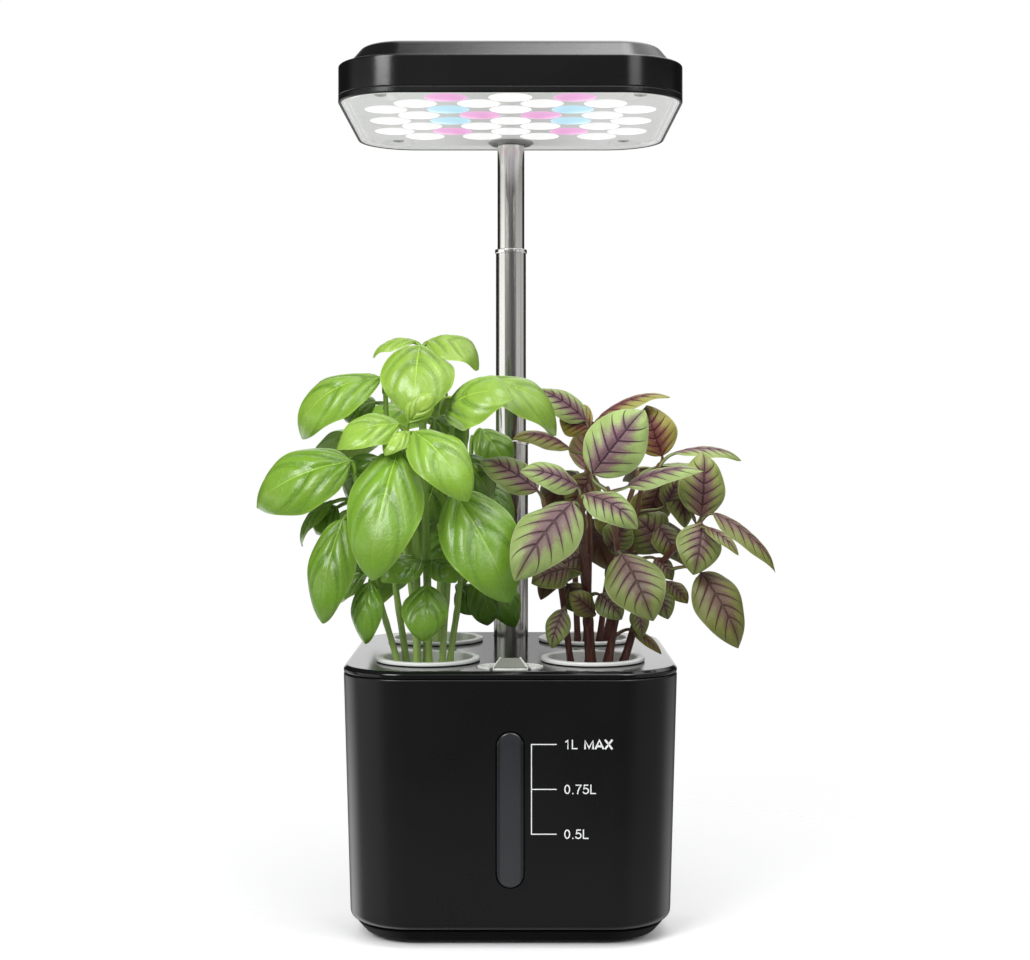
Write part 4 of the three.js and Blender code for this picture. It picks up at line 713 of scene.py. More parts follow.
def colour(name, description, default):
    """A colour that the user may change."""
    return bpy.props.FloatVectorProperty(
        name=name, description=description, default=default, subtype="COLOR", size=3, min=0.0, max=1.0
    )


class TankSettings(bpy.types.PropertyGroup):
    shell: colour("Shell", "Satin black of the tank, its plinth and the lamp", (0.0042, 0.0042, 0.0047))
    smoke: colour("Window", "Smoked plastic of the water window", (0.026, 0.027, 0.03))
    ink: colour("Marks", "Ink of the level marks", (0.72, 0.73, 0.73))
    wall: length("Wall", "Thickness of the tank's wall", 2.4)
    corner: length("Corner", "Radius of the tank's upright corners", 25.0)
    mark_line: length("Mark line", "Width of the level marks' lines", 0.36)
    letter_height: length("Letter height", "Height of the level marks' capitals", 3.6)


class DeckSettings(bpy.types.PropertyGroup):
    gloss: colour("Deck", "Gloss black of the deck", (0.004, 0.004, 0.0045))
    cap: colour("Fill cap", "Frosted plastic of the fill cap", (0.6, 0.61, 0.58))
    grip: colour("Grip", "Ribbed grip of the fill cap", (0.19, 0.2, 0.17))
    steel: colour("Pole", "Polished steel of the pole", (0.62, 0.61, 0.58))


class LampSettings(bpy.types.PropertyGroup):
    panel: colour("Panel", "White of the lens panel", (0.86, 0.865, 0.86))
    white: colour("White lens", "Light of the white lenses", (1.0, 1.0, 1.0))
    pink: colour("Pink lens", "Light of the pink lenses", (0.87, 0.42, 0.74))
    blue: colour("Blue lens", "Light of the blue lenses", (0.52, 0.82, 0.97))
    lens: length("Lens", "Radius of one lens", 8.5)
    pitch: length("Lens pitch", "Step between the columns of lenses", LENS_PITCH)


class PlantSettings(bpy.types.PropertyGroup):
    # Old basil green is partly painted shade: leaves further in get more of it
    deep: colour("Old basil", "Green of the oldest basil leaves", (0.032, 0.115, 0.003))
    fresh: colour("Basil", "Green of a grown basil leaf", (0.235, 0.47, 0.032))
    young: colour("Young basil", "Green of the youngest basil leaves", (0.44, 0.66, 0.1))
    pale: colour("Amaranth edge", "Green at the edge of an amaranth leaf", (0.38, 0.52, 0.17))
    # Old amaranth green is partly painted shade: leaves further in get more of it
    olive: colour("Old amaranth", "Green of the lower amaranth leaves", (0.13, 0.18, 0.028))
    purple: colour("Amaranth heart", "Purple about the midrib", (0.19, 0.075, 0.125))
    dark: colour("Amaranth veins", "Dark purple of the veins", (0.04, 0.004, 0.022))
    sponge: colour("Sponge", "Brown of the growing sponge", (0.03, 0.02, 0.012))


class StageSettings(bpy.types.PropertyGroup):
    floor: colour("Floor", "Colour of the floor", (0.93, 0.93, 0.94))
    lens: length("Lens", "Focal length of the camera", 59.93)
    distance: length("Distance", "How far in front of the tank's middle the camera stands", 710.0)
    height: length("Height", "How high the camera stands", 195.2)


# ---------------------------------------------------------------- tank


def wall_reach(z):
    """How far the tank's wall stands from the middle at a height: it leans outwards evenly from the
    bottom to the rim."""
    return TANK_RIM[0] - WALL_LEAN * (TANK_RIM[2] - z) / (TANK_RIM[2] - TANK_BOTTOM)


def tank_skin(corner, wall):
    """Outside of the tank from the middle of its floor up to the rim, then its inside down again."""
    top, bottom = TANK_RIM[2], TANK_BOTTOM
    floor = bottom + FLOOR_THICKNESS
    low, high = wall_reach(bottom), wall_reach(top)
    inner = corner - wall
    rows = [
        [40, 4, bottom, 0], [low, corner, bottom, 3.0], [high, corner, top, 0.7],
        [high - wall, inner, top, 0.6], [wall_reach(floor) - wall, inner, floor, 3.5], [40, 4, floor, 0],
    ]
    return squared(rows, arc=16)


class GARDEN_OT_tank_shell(bpy.types.Operator):
    """The moulded tank, with its window slot, its socket notch and its screw bosses"""

    bl_idname = "garden.tank_shell"
    bl_label = "Tank Shell"

    def execute(self, context):
        settings = context.scene.garden_tank
        finish = moulded(
            "Tank Satin Black", settings.shell, 0.3, grain=0.02, size=3000, Specular_IOR_Level=0.42
        )
        boss = [[0, 4.3, 0], [3.6, 4.3, 0.3], [3.6, 8, 0], [0, 8, 0]]
        bosses = [turned(boss, 24, spot_of(f"base_screw_{i}")) for i in FOUR]
        slot = skin(window_rings([[0.3, 0, -6], [0.3, 0, -0.35], [0.65, 0, 0.05], [0.65, 0, 3]]))
        low, high = reach_of("dc_socket")
        near, far = BACK_WALL
        notch = block([low[0] - GAP, near, low[2] - GAP], [high[0] + GAP, far, OVER_DECK])
        walls = tank_skin(settings.corner, settings.wall)
        fit("tank_body", "tank", "black_shell", "tank_shell", finish, walls, *bosses, cut=(slot, notch))
        return {"FINISHED"}


class GARDEN_OT_water_window(bpy.types.Operator):
    """The smoked window in the front wall"""

    bl_idname = "garden.water_window"
    bl_label = "Water Window"

    def execute(self, context):
        smoke = context.scene.garden_tank.smoke
        finish = Finish("Window Smoke", smoke, 0.16, Coat_Weight=0.4, Coat_Roughness=0.05)
        x, _, _ = finish.axes()
        cloud = finish.noise(60, detail=3)
        edge = abs(x).span(0.0032, 0.0046, smooth=True)
        body = finish.blend(cloud, tinted(smoke, 0.9), tinted(smoke, 1.12))
        finish.wear("Base Color", finish.blend(edge, body, tinted(smoke, 0.35)))
        finish.roughen(cloud, 0.3, 0.7, 0.12, 0.24)
        finish.relief(finish.noise(1500), 0.006)
        rows = [
            [-4.9, 0, -5.6, 0], [3, 0, -5.6, 0.3], [3, 0, -4.0, 0.3],
            [0, 0, -4.0, 0], [0, 0, 0.5, 0.55], [-3.4, 0, 0.62, 0],
        ]
        lens = skin(window_rings(rounded(rows)))
        fit("water_window_lens", "tank", "smoked_clear", "water_window", finish.material, lens)
        return {"FINISHED"}


# Each letter's width and its pen lines, as shares of a capital's height
TURN = np.linspace(0, 2 * np.pi, 25)[:, None]
ROUND = [0.385, 0.5] + [0.25, 0.43] * np.hstack([np.cos(TURN), np.sin(TURN)])
FIVE = [
    [0.65, 0.94], [0.24, 0.94], [0.16, 0.52], [0.27, 0.6], [0.41, 0.62], [0.56, 0.56], [0.65, 0.43],
    [0.66, 0.27], [0.57, 0.13], [0.41, 0.06], [0.25, 0.08], [0.14, 0.16], [0.1, 0.26],
]
LETTERS = {
    "0": (0.777, [ROUND]),
    "1": (0.777, [[[0.17, 0.74], [0.33, 0.82], [0.45, 0.96], [0.45, 0.0]]]),
    "7": (0.777, [[[0.09, 0.94], [0.68, 0.94], [0.47, 0.62], [0.35, 0.32], [0.29, 0.0]]]),
    "5": (0.777, [FIVE]),
    ".": (0.388, [[[0.19, 0.0], [0.19, 0.13]]]),
    "L": (0.777, [[[0.14, 1.0], [0.14, 0.06], [0.68, 0.06]]]),
    "M": (1.163, [[[0.16, 0.0], [0.16, 0.92], [0.58, 0.12], [1.0, 0.92], [1.0, 0.0]]]),
    "A": (1.0, [[[0.07, 0.0], [0.5, 0.94], [0.93, 0.0]], [[0.22, 0.3], [0.78, 0.3]]]),
    "X": (0.93, [[[0.08, 1.0], [0.85, 0.0]], [[0.85, 1.0], [0.08, 0.0]]]),
}


def pen_line(points, width):
    """A flat bar of even width carried along a line on the front wall. At each bend both sides meet on
    the bisector, and the bar stands just proud of the wall."""
    points = np.asarray(points, float)
    way = np.diff(points, axis=0)
    across = np.stack([-way[:, 1], way[:, 0]], axis=-1) / np.linalg.norm(way, axis=-1, keepdims=True)
    first, second = np.vstack([across[:1], across]), np.vstack([across, across[-1:]])
    middle = first + second
    middle /= np.maximum((middle * first).sum(-1, keepdims=True), 0.6)
    left, right = points + middle * width / 2, points - middle * width / 2
    corners = np.stack([right, left, left, right], axis=1)
    y = -wall_reach(corners[..., 1]) + np.array([-0.05, -0.05, 0.02, 0.02])
    return skin(np.stack([corners[..., 0], y, corners[..., 1]], axis=-1))


def lettering(words, left, middle, height, weight):
    """Pen lines for a row of letters that starts at the left and stands about a middle height."""
    skins = []
    for letter in words:
        advance, lines = LETTERS[letter]
        for line in lines:
            points = np.array(line) * height + [left, middle - height / 2]
            skins.append(pen_line(points, weight * height))
        left += advance * height
    return skins


class GARDEN_OT_level_marks(bpy.types.Operator):
    """The printed scale beside the water window"""

    bl_idname = "garden.level_marks"
    bl_label = "Level Marks"

    def execute(self, context):
        settings = context.scene.garden_tank
        width, tall = settings.mark_line, settings.letter_height
        full, half, low = (WINDOW_MIDDLE + rise for rise in (24.9, 7.9, -9.1))
        stem, end, text = 8.0, 17.5, 20.1
        skins = [
            pen_line([[end, full], [stem, full], [stem, low], [end, low]], width),
            pen_line([[stem, half], [end, half]], width),
            *lettering("1L", text, full, tall, 0.12),
            *lettering("MAX", 27.6, full, tall, 0.2),
            *lettering("0.75L", text, half, tall, 0.12),
            *lettering("0.5L", text, low, tall, 0.12),
        ]
        finish = moulded("Mark Ink", settings.ink, 0.5, grain=0.004, size=5000)
        seat(mesh_of("level_marks", *skins, finish=finish, outward=True), "tank", "white_plastic")
        return {"FINISHED"}


class GARDEN_OT_plinth(bpy.types.Operator):
    """The tray that the tank stands on, with its foot recesses and screw holes"""

    bl_idname = "garden.plinth"
    bl_label = "Plinth"

    def execute(self, context):
        shell = tinted(context.scene.garden_tank.shell, 0.45)
        finish = moulded(
            "Plinth Satin Black", shell, 0.6, grain=0.02, size=3000, Specular_IOR_Level=0.07
        )
        half, _, top = reach_of("base_plinth")[1]
        rows = [
            [35, 6, 1.0, 0], [half - 3.5, 20.75, 1.0, 2.2], [half, 20.75, top, 0.5],
            [half - 2.2, 18.55, top, 0.3], [half - 5.2, 18.55, 4.0, 0.8], [35, 6, 4.0, 0],
        ]
        hole = [[0, -2, 0], [2.9, -2, 0], [2.9, 2.9, 0], [1.5, 2.9, 0], [1.5, 9, 0], [0, 9, 0]]
        cutters = []
        for i in FOUR:
            cutters.append(plug(6.3, -2, 2.2, spot_of(f"rubber_foot_{i}"), 48))
            cutters.append(turned(hole, 32, spot_of(f"base_screw_{i}")))
        tray = squared(rows, arc=16)
        fit("plinth", "tank", "black_shell", "base_plinth", finish, tray, cut=cutters)
        return {"FINISHED"}


class GARDEN_OT_feet(bpy.types.Operator):
    """Four round rubber feet with a ring moulded in each"""

    bl_idname = "garden.feet"
    bl_label = "Rubber Feet"

    def execute(self, context):
        finish = moulded("Foot Rubber", (0.014, 0.014, 0.014), 0.8, grain=0.06, size=1800)
        for i in FOUR:
            node = f"rubber_foot_{i}"
            top = levels_of(node)[1]
            rows = [
                [0, 0.25, 0], [3.4, 0.25, 0.2], [3.8, 0, 0.2], [6, 0, 0.5], [6, top, 0.25], [0, top, 0]
            ]
            foot = turned(rows, 48, spot_of(node))
            fit(f"foot_{i}", "tank", "black_rubber", node, finish, foot)
        return {"FINISHED"}


def screw_piece(node, body, finish):
    """A pan-head screw, head down: its head and shank are turned and a cross is cut in the head."""
    x, y = spot_of(node)
    head, top = levels_of(node)
    rows = [
        [0, head, 0], [2.6, head, 0.7], [2.6, head + 1.3, 0.1], [1.2, head + 1.3, 0],
        [1.2, top - 0.8, 0.2], [0.3, top, 0], [0, top, 0],
    ]
    bars = [
        block([x - long, y - deep, head - 1], [x + long, y + deep, head + 0.8])
        for long, deep in ((1.5, 0.3), (0.3, 1.5))
    ]
    screw = turned(rows, 32, (x, y), steps=4)
    fit(f"{node}_body", body, "zinc_steel", node, finish, screw, cut=bars)


class GARDEN_OT_screws(bpy.types.Operator):
    """The screws of the plinth, the control box and the lamp"""

    bl_idname = "garden.screws"
    bl_label = "Screws"

    def execute(self, context):
        zinc = plated_steel("Screw Zinc", (0.45, 0.46, 0.47))
        white = moulded("Screw White", (0.74, 0.745, 0.74), 0.35)
        for body, stem, count, finish in (
            ("tank", "base_screw", 4, zinc),
            ("deck", "box_screw", 2, zinc),
            ("lamp", "lamp_screw", 4, white),
        ):
            for i in range(1, count + 1):
                screw_piece(f"{stem}_{i}", body, finish)
        return {"FINISHED"}


# ---------------------------------------------------------------- deck and pole


class GARDEN_OT_deck_shell(bpy.types.Operator):
    """The gloss deck with its skirt, pod bores, fill port and pole socket"""

    bl_idname = "garden.deck_shell"
    bl_label = "Deck Shell"

    def execute(self, context):
        gloss = context.scene.garden_deck.gloss
        finish = moulded(
            "Deck Gloss Black", gloss, 0.13, grain=0.004, size=1400, drift=0.03, Specular_IOR_Level=0.5
        )
        dull = moulded("Deck Socket Black", gloss, 0.4)
        top = levels_of("deck_shell")[1]
        bottom = top - DECK_THICKNESS
        skirt = bottom - 7.5
        rows = [
            [30, 3, bottom, 0], [60.31, 20.5, bottom, 0.6], [60.31, 20.5, skirt, 0.3],
            [62.11, 22.3, skirt, 0.4], [62.11, 22.3, bottom, 0.2], [65, 25, bottom, 0.35],
            [65, 25, top - 1.2, 0.9], [63.6, 23.6, top, 1.0], [30, 3, top, 0],
        ]
        port = [
            [0, UNDER_DECK, 0], [11.05, UNDER_DECK, 0], [11.05, top - 0.9, 0], [13.05, top - 0.9, 0.3],
            [13.05, top - 0.2, 0.2], [13.4, top + 0.2, 0], [13.4, OVER_DECK, 0], [0, OVER_DECK, 0],
        ]
        socket = [
            [2.5, 82.3, 0], [10.5, 82.3, 0.8], [10.5, 103.4, 0],
            [7.9, 103.4, 0], [7.9, 84.3, 0.5], [2.5, 84.3, 0],
        ]
        boss = [[1.5, 88.2, 0], [2.6, 88.2, 0.2], [2.6, 103.4, 0], [1.5, 103.4, 0]]
        pole = spot_of("lower_tube")
        low, high = reach_of("dc_socket")
        near, far = BACK_WALL
        cutters = [
            plug(7.9, 95, OVER_DECK, pole),
            *(plug(19, UNDER_DECK, OVER_DECK, spot_of(f"basket_{pod}"), 72) for pod in PODS),
            turned(port, 80, spot_of("fill_cap"), (1, 0.713)),
            block([low[0] - GAP, near, 85], [high[0] + GAP, far, bottom]),
        ]
        sockets = [turned(socket, 64, pole, closed=True)]
        sockets += [turned(boss, 24, spot_of(f"box_screw_{i}"), closed=True) for i in (1, 2)]
        fit("deck_body", "deck", "black_gloss", "deck_shell", finish, squared(rows), cut=cutters)
        fit("deck_sockets", "deck", "black_gloss", "deck_shell", dull, *sockets)
        return {"FINISHED"}


def grip_skin(cap, side, breadth, proud, rib):
    """The wedge of the cap's grip, or one of its side rails: a trapezoid drawn from front to back that
    narrows and rises, with ribs as a wave along it. Side picks the left or right rail and 0 the wedge
    itself."""
    share = np.linspace(0, 1, 73)[:, None]
    y = cap[1] - 7.8 + share * 13.2
    half = 6.25 - share * 2.45
    ribs = rib * np.sin(share * np.pi * 26) * np.sin(share * np.pi) ** 0.3
    top = LID_LEVEL + 1.7 + share * 1.7 + proud + ribs
    low = LID_LEVEL + 0.3
    if side:
        outline = np.array([[-1, 0], [1, 0], [1, 0.85], [0.6, 1], [-0.6, 1], [-1, 0.85]])
        x = cap[0] + side * half + outline[:, 0] * breadth
    else:
        outline = np.array([[-1, 0], [1, 0], [1, 1], [0, 1], [-1, 1]])
        x = cap[0] + outline[:, 0] * half
    z = low + outline[:, 1] * (top - low)
    return skin(np.stack([x + 0 * z, y + 0 * z, z], axis=-1))


class GARDEN_OT_fill_cap(bpy.types.Operator):
    """The oval fill cap with its plug and its ribbed wedge grip"""

    bl_idname = "garden.fill_cap"
    bl_label = "Fill Cap"

    def execute(self, context):
        settings = context.scene.garden_deck
        cap = spot_of("fill_cap")
        lid = LID_LEVEL
        rows = [
            [0, lid - 0.1, 0], [9.2, lid - 0.1, 0.8], [9.2, lid - 5, 0.2], [10.4, lid - 5, 0.4],
            [10.4, lid, 0], [12.75, lid, 0.3], [12.75, lid + 1.2, 0.5], [11.5, lid + 1.2, 0.3],
            [11.1, lid + 0.9, 0.3], [0, lid + 0.9, 0],
        ]
        frosted = cap_plastic("Cap Frosted", settings.cap, cap)
        white = moulded("Rail White", tinted(settings.cap, 1.35), 0.2, grain=0.01)
        ribbed = moulded("Grip Grey", settings.grip, 0.45, grain=0.02, size=2400)
        for name, finish, skins in (
            ("lid", frosted, [turned(rows, 80, cap, (1, 18 / 25.5))]),
            ("rails", white, [grip_skin(cap, side, 0.35, 0.35, 0.0) for side in (-1, 1)]),
            ("grip", ribbed, [grip_skin(cap, 0, 1.0, 0.0, 0.16)]),
        ):
            name = f"fill_cap_{name}"
            fit(name, "cap", "clear_cap", "fill_cap", finish, *skins, even=False, outward=True)
        return {"FINISHED"}


class GARDEN_OT_pole_tubes(bpy.types.Operator):
    """The three telescoping steel tubes"""

    bl_idname = "garden.pole_tubes"
    bl_label = "Pole Tubes"

    def execute(self, context):
        finish = drawn_steel("Pole Steel", context.scene.garden_deck.steel, 0.16)
        for node, body, radius, wall in (
            ("lower_tube", "deck", 7.6, 0.7),
            ("middle_tube", "middle_pole", 6.7, 0.5),
            ("upper_tube", "lamp", 6.0, 0.6),
        ):
            low, high = levels_of(node)
            inner = radius - wall
            rows = [[inner, low, 0], [radius, low, 0.2], [radius, high, 0.2], [inner, high, 0]]
            tube = turned(rows, 96, spot_of(node), closed=True, steps=3)
            fit(f"{node}_body", body, "polished_steel", node, finish, tube)
        return {"FINISHED"}


class GARDEN_OT_pole_collars(bpy.types.Operator):
    """The guide rings at the mouths of the lower two tubes, lightened as a painted highlight, and the
    flange under the lamp
    """

    bl_idname = "garden.pole_collars"
    bl_label = "Pole Collars"

    def execute(self, context):
        # Painted highlight: the collars' steel is lightened well past the pole's
        finish = drawn_steel("Collar Steel", tinted(context.scene.garden_deck.steel, 1.45), 0.16)
        for node, body, tube, inner in (
            ("lower_tube_collar", "deck", 7.6, 6.85),
            ("middle_tube_collar", "middle_pole", 6.7, 6.15),
        ):
            high = levels_of(node)[1]
            lip, outer, foot = tube + 0.1, tube + 0.45, high - 1.8
            rows = [
                [lip, foot, 0], [outer, foot, 0.25], [outer, high, 0.45],
                [inner, high, 0.2], [inner, foot + 1, 0], [lip, foot + 1, 0],
            ]
            ring = turned(rows, 96, spot_of(node), closed=True, steps=5)
            fit(f"{node}_ring", body, "white_plastic", node, finish, ring)
        low, high = levels_of("pole_flange")
        rows = [[6.3, low, 0.2], [8.6, low, 0.5], [10, low + 0.7, 0.4], [10, high, 0], [6.3, high, 0]]
        grey = moulded("Flange Grey", (0.35, 0.35, 0.35), 0.3, grain=0.01)
        flange = turned(rows, 96, spot_of("pole_flange"), closed=True)
        fit("pole_flange_ring", "lamp", "grey_plastic", "pole_flange", grey, flange)
        return {"FINISHED"}


def lying(rows, count, place):
    """The skin of a turned piece laid down, so that its axis runs to the back through a place."""
    points, faces = turned(rows, count)
    return points[:, [0, 2, 1]] * [1, 1, -1] + place, faces


def bevelled(name, finish, shape, width):
    """A piece whose edges are rounded off by a width."""
    piece = mesh_of(name, shape, finish=finish)
    edge = piece.modifiers.new("Edge", "BEVEL")
    edge.width, edge.segments = width * MM, 3
    return settle(piece)


class GARDEN_OT_power_socket(bpy.types.Operator):
    """The low-voltage socket at the back, with its bore and centre pin"""

    bl_idname = "garden.power_socket"
    bl_label = "Power Socket"

    def execute(self, context):
        finish = moulded("Socket Black", (0.012, 0.012, 0.012), 0.4, grain=0.01)
        nickel = plated_steel("Pin Nickel", (0.5, 0.48, 0.42))
        low, high = reach_of("dc_socket")
        x, _, z = (low + high) / 2
        mouth = [x, high[1], z]
        face = block([low[0], high[1] - 4.5, low[2]], high)
        body = block(low + [0.5, 0, 0.5], high - [0.5, 2.4, 0.5])
        bore = lying([[0, -12, 0], [2.8, -12, 0], [2.8, 2, 0], [0, 2, 0]], 40, mouth)
        pin = lying([[0, -8.8, 0], [1.0, -8.8, 0], [1.0, -1.2, 0.3], [0, -1.0, 0]], 24, mouth)
        front = carve(bevelled("power_socket", finish, face, 0.6), bore)
        seat(flatten_shading(front), "deck", "black_shell", "dc_socket")
        seat(bevelled("power_socket_body", finish, body, 0.5), "deck", "black_shell", "dc_socket")
        name = "power_socket_pin"
        fit(name, "deck", "zinc_steel", "dc_socket", nickel, pin, even=False, outward=True)
        return {"FINISHED"}


# ---------------------------------------------------------------- lamp


class GARDEN_OT_lamp_shell(bpy.types.Operator):
    """The lamp's black top: an upright band, a sloping crown and a flat roof, and the posts inside"""

    bl_idname = "garden.lamp_shell"
    bl_label = "Lamp Shell"

    def execute(self, context):
        shell = context.scene.garden_tank.shell
        finish = moulded(
            "Lamp Satin Black", shell, 0.19, grain=0.02, size=3000, Specular_IOR_Level=0.5
        )
        bottom, top = levels_of("lamp_top_shell")
        band = top - 7.4
        rows = [
            [30, 3, top - 2, 0], [54.5, 12.5, top - 2, 2], [61.1, 19.1, top - 8.8, 1],
            [64.6, 22.6, top - 10, 0.6], [64.6, 22.6, bottom, 0.2], [67, 25, bottom, 0.3],
            [67, 25, band, 0.9], [63.5, 21.5, band, 0.7], [57.3, 15.3, top, 5], [30, 3, top, 0],
        ]
        hole = [
            [0, UNDER_ROOF, 0], [6.3, UNDER_ROOF, 0], [6.3, top - 0.3, 0],
            [6.7, top + 0.2, 0], [6.7, OVER_ROOF, 0], [0, OVER_ROOF, 0],
        ]
        foot = bottom + 2.3
        screw_post = [[1.5, foot, 0], [3.2, foot, 0.3], [3.2, top - 2, 0], [1.5, top - 2, 0]]
        posts = [turned(screw_post, 24, spot_of(f"lamp_screw_{i}"), closed=True) for i in FOUR]
        foot = bottom + 7.2
        board_post = [[0, foot, 0], [3, foot, 0.3], [3, top - 1, 0], [0, top - 1, 0]]
        for spot in ((-44.6, -44.6), (44.6, -44.6), (44.6, 27.7), (-44.6, 27.7)):
            posts.append(turned(board_post, 24, spot))
        crown, hole = squared(rows, steps=8), turned(hole)
        fit("lamp_shell", "lamp", "black_shell", "lamp_top_shell", finish, crown, cut=[hole])
        fit("lamp_shell_posts", "lamp", "black_shell", "lamp_top_shell", finish, *posts)
        return {"FINISHED"}


class GARDEN_OT_lamp_rim(bpy.types.Operator):
    """The black bezel round the lens panel"""

    bl_idname = "garden.lamp_rim"
    bl_label = "Lamp Rim"

    def execute(self, context):
        shell = context.scene.garden_tank.shell
        finish = moulded("Rim Black", shell, 0.28, grain=0.01, size=3000, Specular_IOR_Level=0.4)
        bottom, top = levels_of("lamp_rim")
        rows = [
            [66, 24, bottom, 0.2], [67, 25, bottom, 0.5], [67, 25, top, 0.2],
            [64.6, 22.6, top, 0.1], [64.6, 22.6, bottom + 1.4, 0], [66, 24, bottom + 1.4, 0.1],
        ]
        fit("lamp_bezel", "lamp", "black_shell", "lamp_rim", finish, squared(rows, closed=True))
        return {"FINISHED"}


def lens_spots(pitch):
    """The middles of the lenses, in columns: even columns hold whole steps and odd ones half steps, and
    the third number is 1 for a pink lens and 2 for a blue one."""
    spots = []
    for column in range(-4, 5):
        even = np.arange(-1 if abs(column) == 4 else -2, 2)
        for row in np.arange(-1.5, 2) if column % 2 else even:
            pink = (abs(column) == 2 and row in (-2, 1)) or (abs(column) == 1 and row == -0.5)
            blue = abs(column) == 2 and row in (-1, 0)
            kind = 1.0 if pink else 2.0 if blue else 0.0
            spots.append((column * pitch, LENS_SHIFT + row * 2 * pitch, kind))
    return np.array(spots)


class GARDEN_OT_lens_panel(bpy.types.Operator):
    """The white panel that carries the lenses, with its bead and its four screw dishes"""

    bl_idname = "garden.lens_panel"
    bl_label = "Lens Panel"

    def execute(self, context):
        # Painted glow: the panel gives off a faint white light of its own, though only its lenses are
        # lamps
        look = {"Specular_IOR_Level": 0.35, "Emission_Strength": 0.24}
        panel = context.scene.garden_lamp.panel
        finish = moulded("Panel White", panel, 0.2, grain=0.004, size=1600, drift=0.04, **look)
        top, bottom = PANEL_TOP, PANEL_BOTTOM
        bead, step, shelf = bottom - 0.35, bottom - 0.8, bottom + 0.3
        rows = [
            [30, 3, bottom, 0], [61.4, 19.4, bottom, 0.3], [61.8, 19.8, bead, 0.25],
            [62.5, 20.5, bead, 0.25], [62.9, 20.9, bottom, 0.3], [64.4, 22.4, bottom, 0.1],
            [64.8, 22.8, step, 0.3], [65.85, 23.85, step, 0.3], [65.85, 23.85, shelf, 0.1],
            [64.3, 22.3, shelf, 0.1], [64.3, 22.3, top, 0.2], [30, 3, top, 0],
        ]
        dish = [
            [0, 318, 0], [8.4, 318, 0], [8.4, bottom - 0.1, 0], [7.75, bottom, 0.8],
            [4.2, bottom + 1.9, 1.2], [1.5, bottom + 1.9, 0], [1.5, OVER_PANEL, 0], [0, OVER_PANEL, 0],
        ]
        cutters = [plug(6.3, UNDER_PANEL, OVER_PANEL, spot_of("upper_tube"))]
        cutters += [turned(dish, 64, spot_of(f"lamp_screw_{i}")) for i in FOUR]
        fit("lens_panel_plate", "lamp", "white_lens", "lens_panel", finish, squared(rows), cut=cutters)
        return {"FINISHED"}


class GARDEN_OT_lens_domes(bpy.types.Operator):
    """The lit lenses: shallow domes in a diagonal lattice"""

    bl_idname = "garden.lens_domes"
    bl_label = "Lenses"

    def execute(self, context):
        settings = context.scene.garden_lamp
        spots = lens_spots(settings.pitch)
        share = np.array([0.0, 0.25, 0.5, 0.7, 0.85, 0.95, 1.0, 1.0])
        height = PANEL_BOTTOM - 0.8 * (1 - share**2)
        height[-1] = PANEL_BOTTOM + 0.3
        rings = turned_rings(np.stack([share * settings.lens, 0 * share, height], axis=-1), 40)
        rings = rings + np.pad(spots[:, :2], ((0, 0), (0, 1)))[:, None, None]
        glow = np.zeros(rings.shape)
        glow[..., 0] = spots[:, 2, None, None]
        glow[..., 1] = share[None, :, None]
        finish = lens_glow("Lens Lit", settings.white, settings.pink, settings.blue)
        domes = [skin(stack) for stack in rings]
        options = {"even": False, "outward": True, "data": {"glow": glow}}
        fit("lens_domes", "lamp", "white_lens", "lens_panel", finish, *domes, **options)
        return {"FINISHED"}


class GARDEN_OT_power_button(bpy.types.Operator):
    """The dished power button in the lamp's roof"""

    bl_idname = "garden.power_button"
    bl_label = "Power Button"

    def execute(self, context):
        finish = moulded("Button Gloss", (0.02, 0.02, 0.021), 0.22, grain=0.004)
        bottom, top = levels_of("power_button")
        rows = [
            [0, bottom, 0], [2, bottom, 0.2], [2, top - 4.3, 0], [7.8, top - 4.3, 0.2],
            [7.8, top - 3.1, 0.2], [6, top - 3.1, 0], [6, top, 0.5], [4.6, top, 0.8],
            [2.6, top - 0.45, 2], [0, top - 0.45, 0],
        ]
        button = turned(rows)
        fit("power_button_cap", "button", "black_gloss", "power_button", finish, button)
        return {"FINISHED"}


# ---------------------------------------------------------------- pods


class GARDEN_OT_baskets(bpy.types.Operator):
    """The four slotted net baskets with their rims"""

    bl_idname = "garden.baskets"
    bl_label = "Net Baskets"

    def execute(self, context):
        finish = moulded("Basket White", (0.7, 0.71, 0.69), 0.34, grain=0.02, size=1800)
        bottom, top = levels_of("basket_front_left")
        rows = [
            [0, bottom, 0], [14, bottom, 1.5], [18.7, top - 1.3, 0.1], [20.5, top - 1.3, 0.2],
            [20.5, top, 0.65], [17.5, top, 0.7], [12.8, bottom + 1.2, 1.0], [0, bottom + 1.2, 0],
        ]
        slot_top = bottom + 24
        slot = block([7, -2.2, bottom - 2], [22, 2.2, slot_top])
        points, faces = plug(2.2, -1, 15, count=24)
        arch = points[:, [2, 0, 1]] + [7, 0, slot_top], faces
        cutters = []
        for turn in (np.arange(8) + 0.25) * np.pi / 4:
            swing = [[np.cos(turn), np.sin(turn), 0], [-np.sin(turn), np.cos(turn), 0], [0, 0, 1]]
            cutters += [(points @ np.array(swing), faces) for points, faces in (slot, arch)]
        first = flatten_shading(carve(mesh_of("basket", turned(rows, 96), finish=finish), *cutters))
        for pod in PODS:
            basket = first.copy()
            basket.data = first.data.copy()
            basket.name = basket.data.name = f"net_basket_{pod}"
            points = np.empty(len(basket.data.vertices) * 3)
            basket.data.vertices.foreach_get("co", points)
            points = points.reshape(-1, 3) + [*spot_of(f"basket_{pod}") * MM, 0]
            basket.data.vertices.foreach_set("co", points.ravel())
            bpy.context.scene.collection.objects.link(basket)
            seat(basket, f"pod_{pod}", "white_plastic", f"basket_{pod}")
        bpy.data.objects.remove(first)
        return {"FINISHED"}


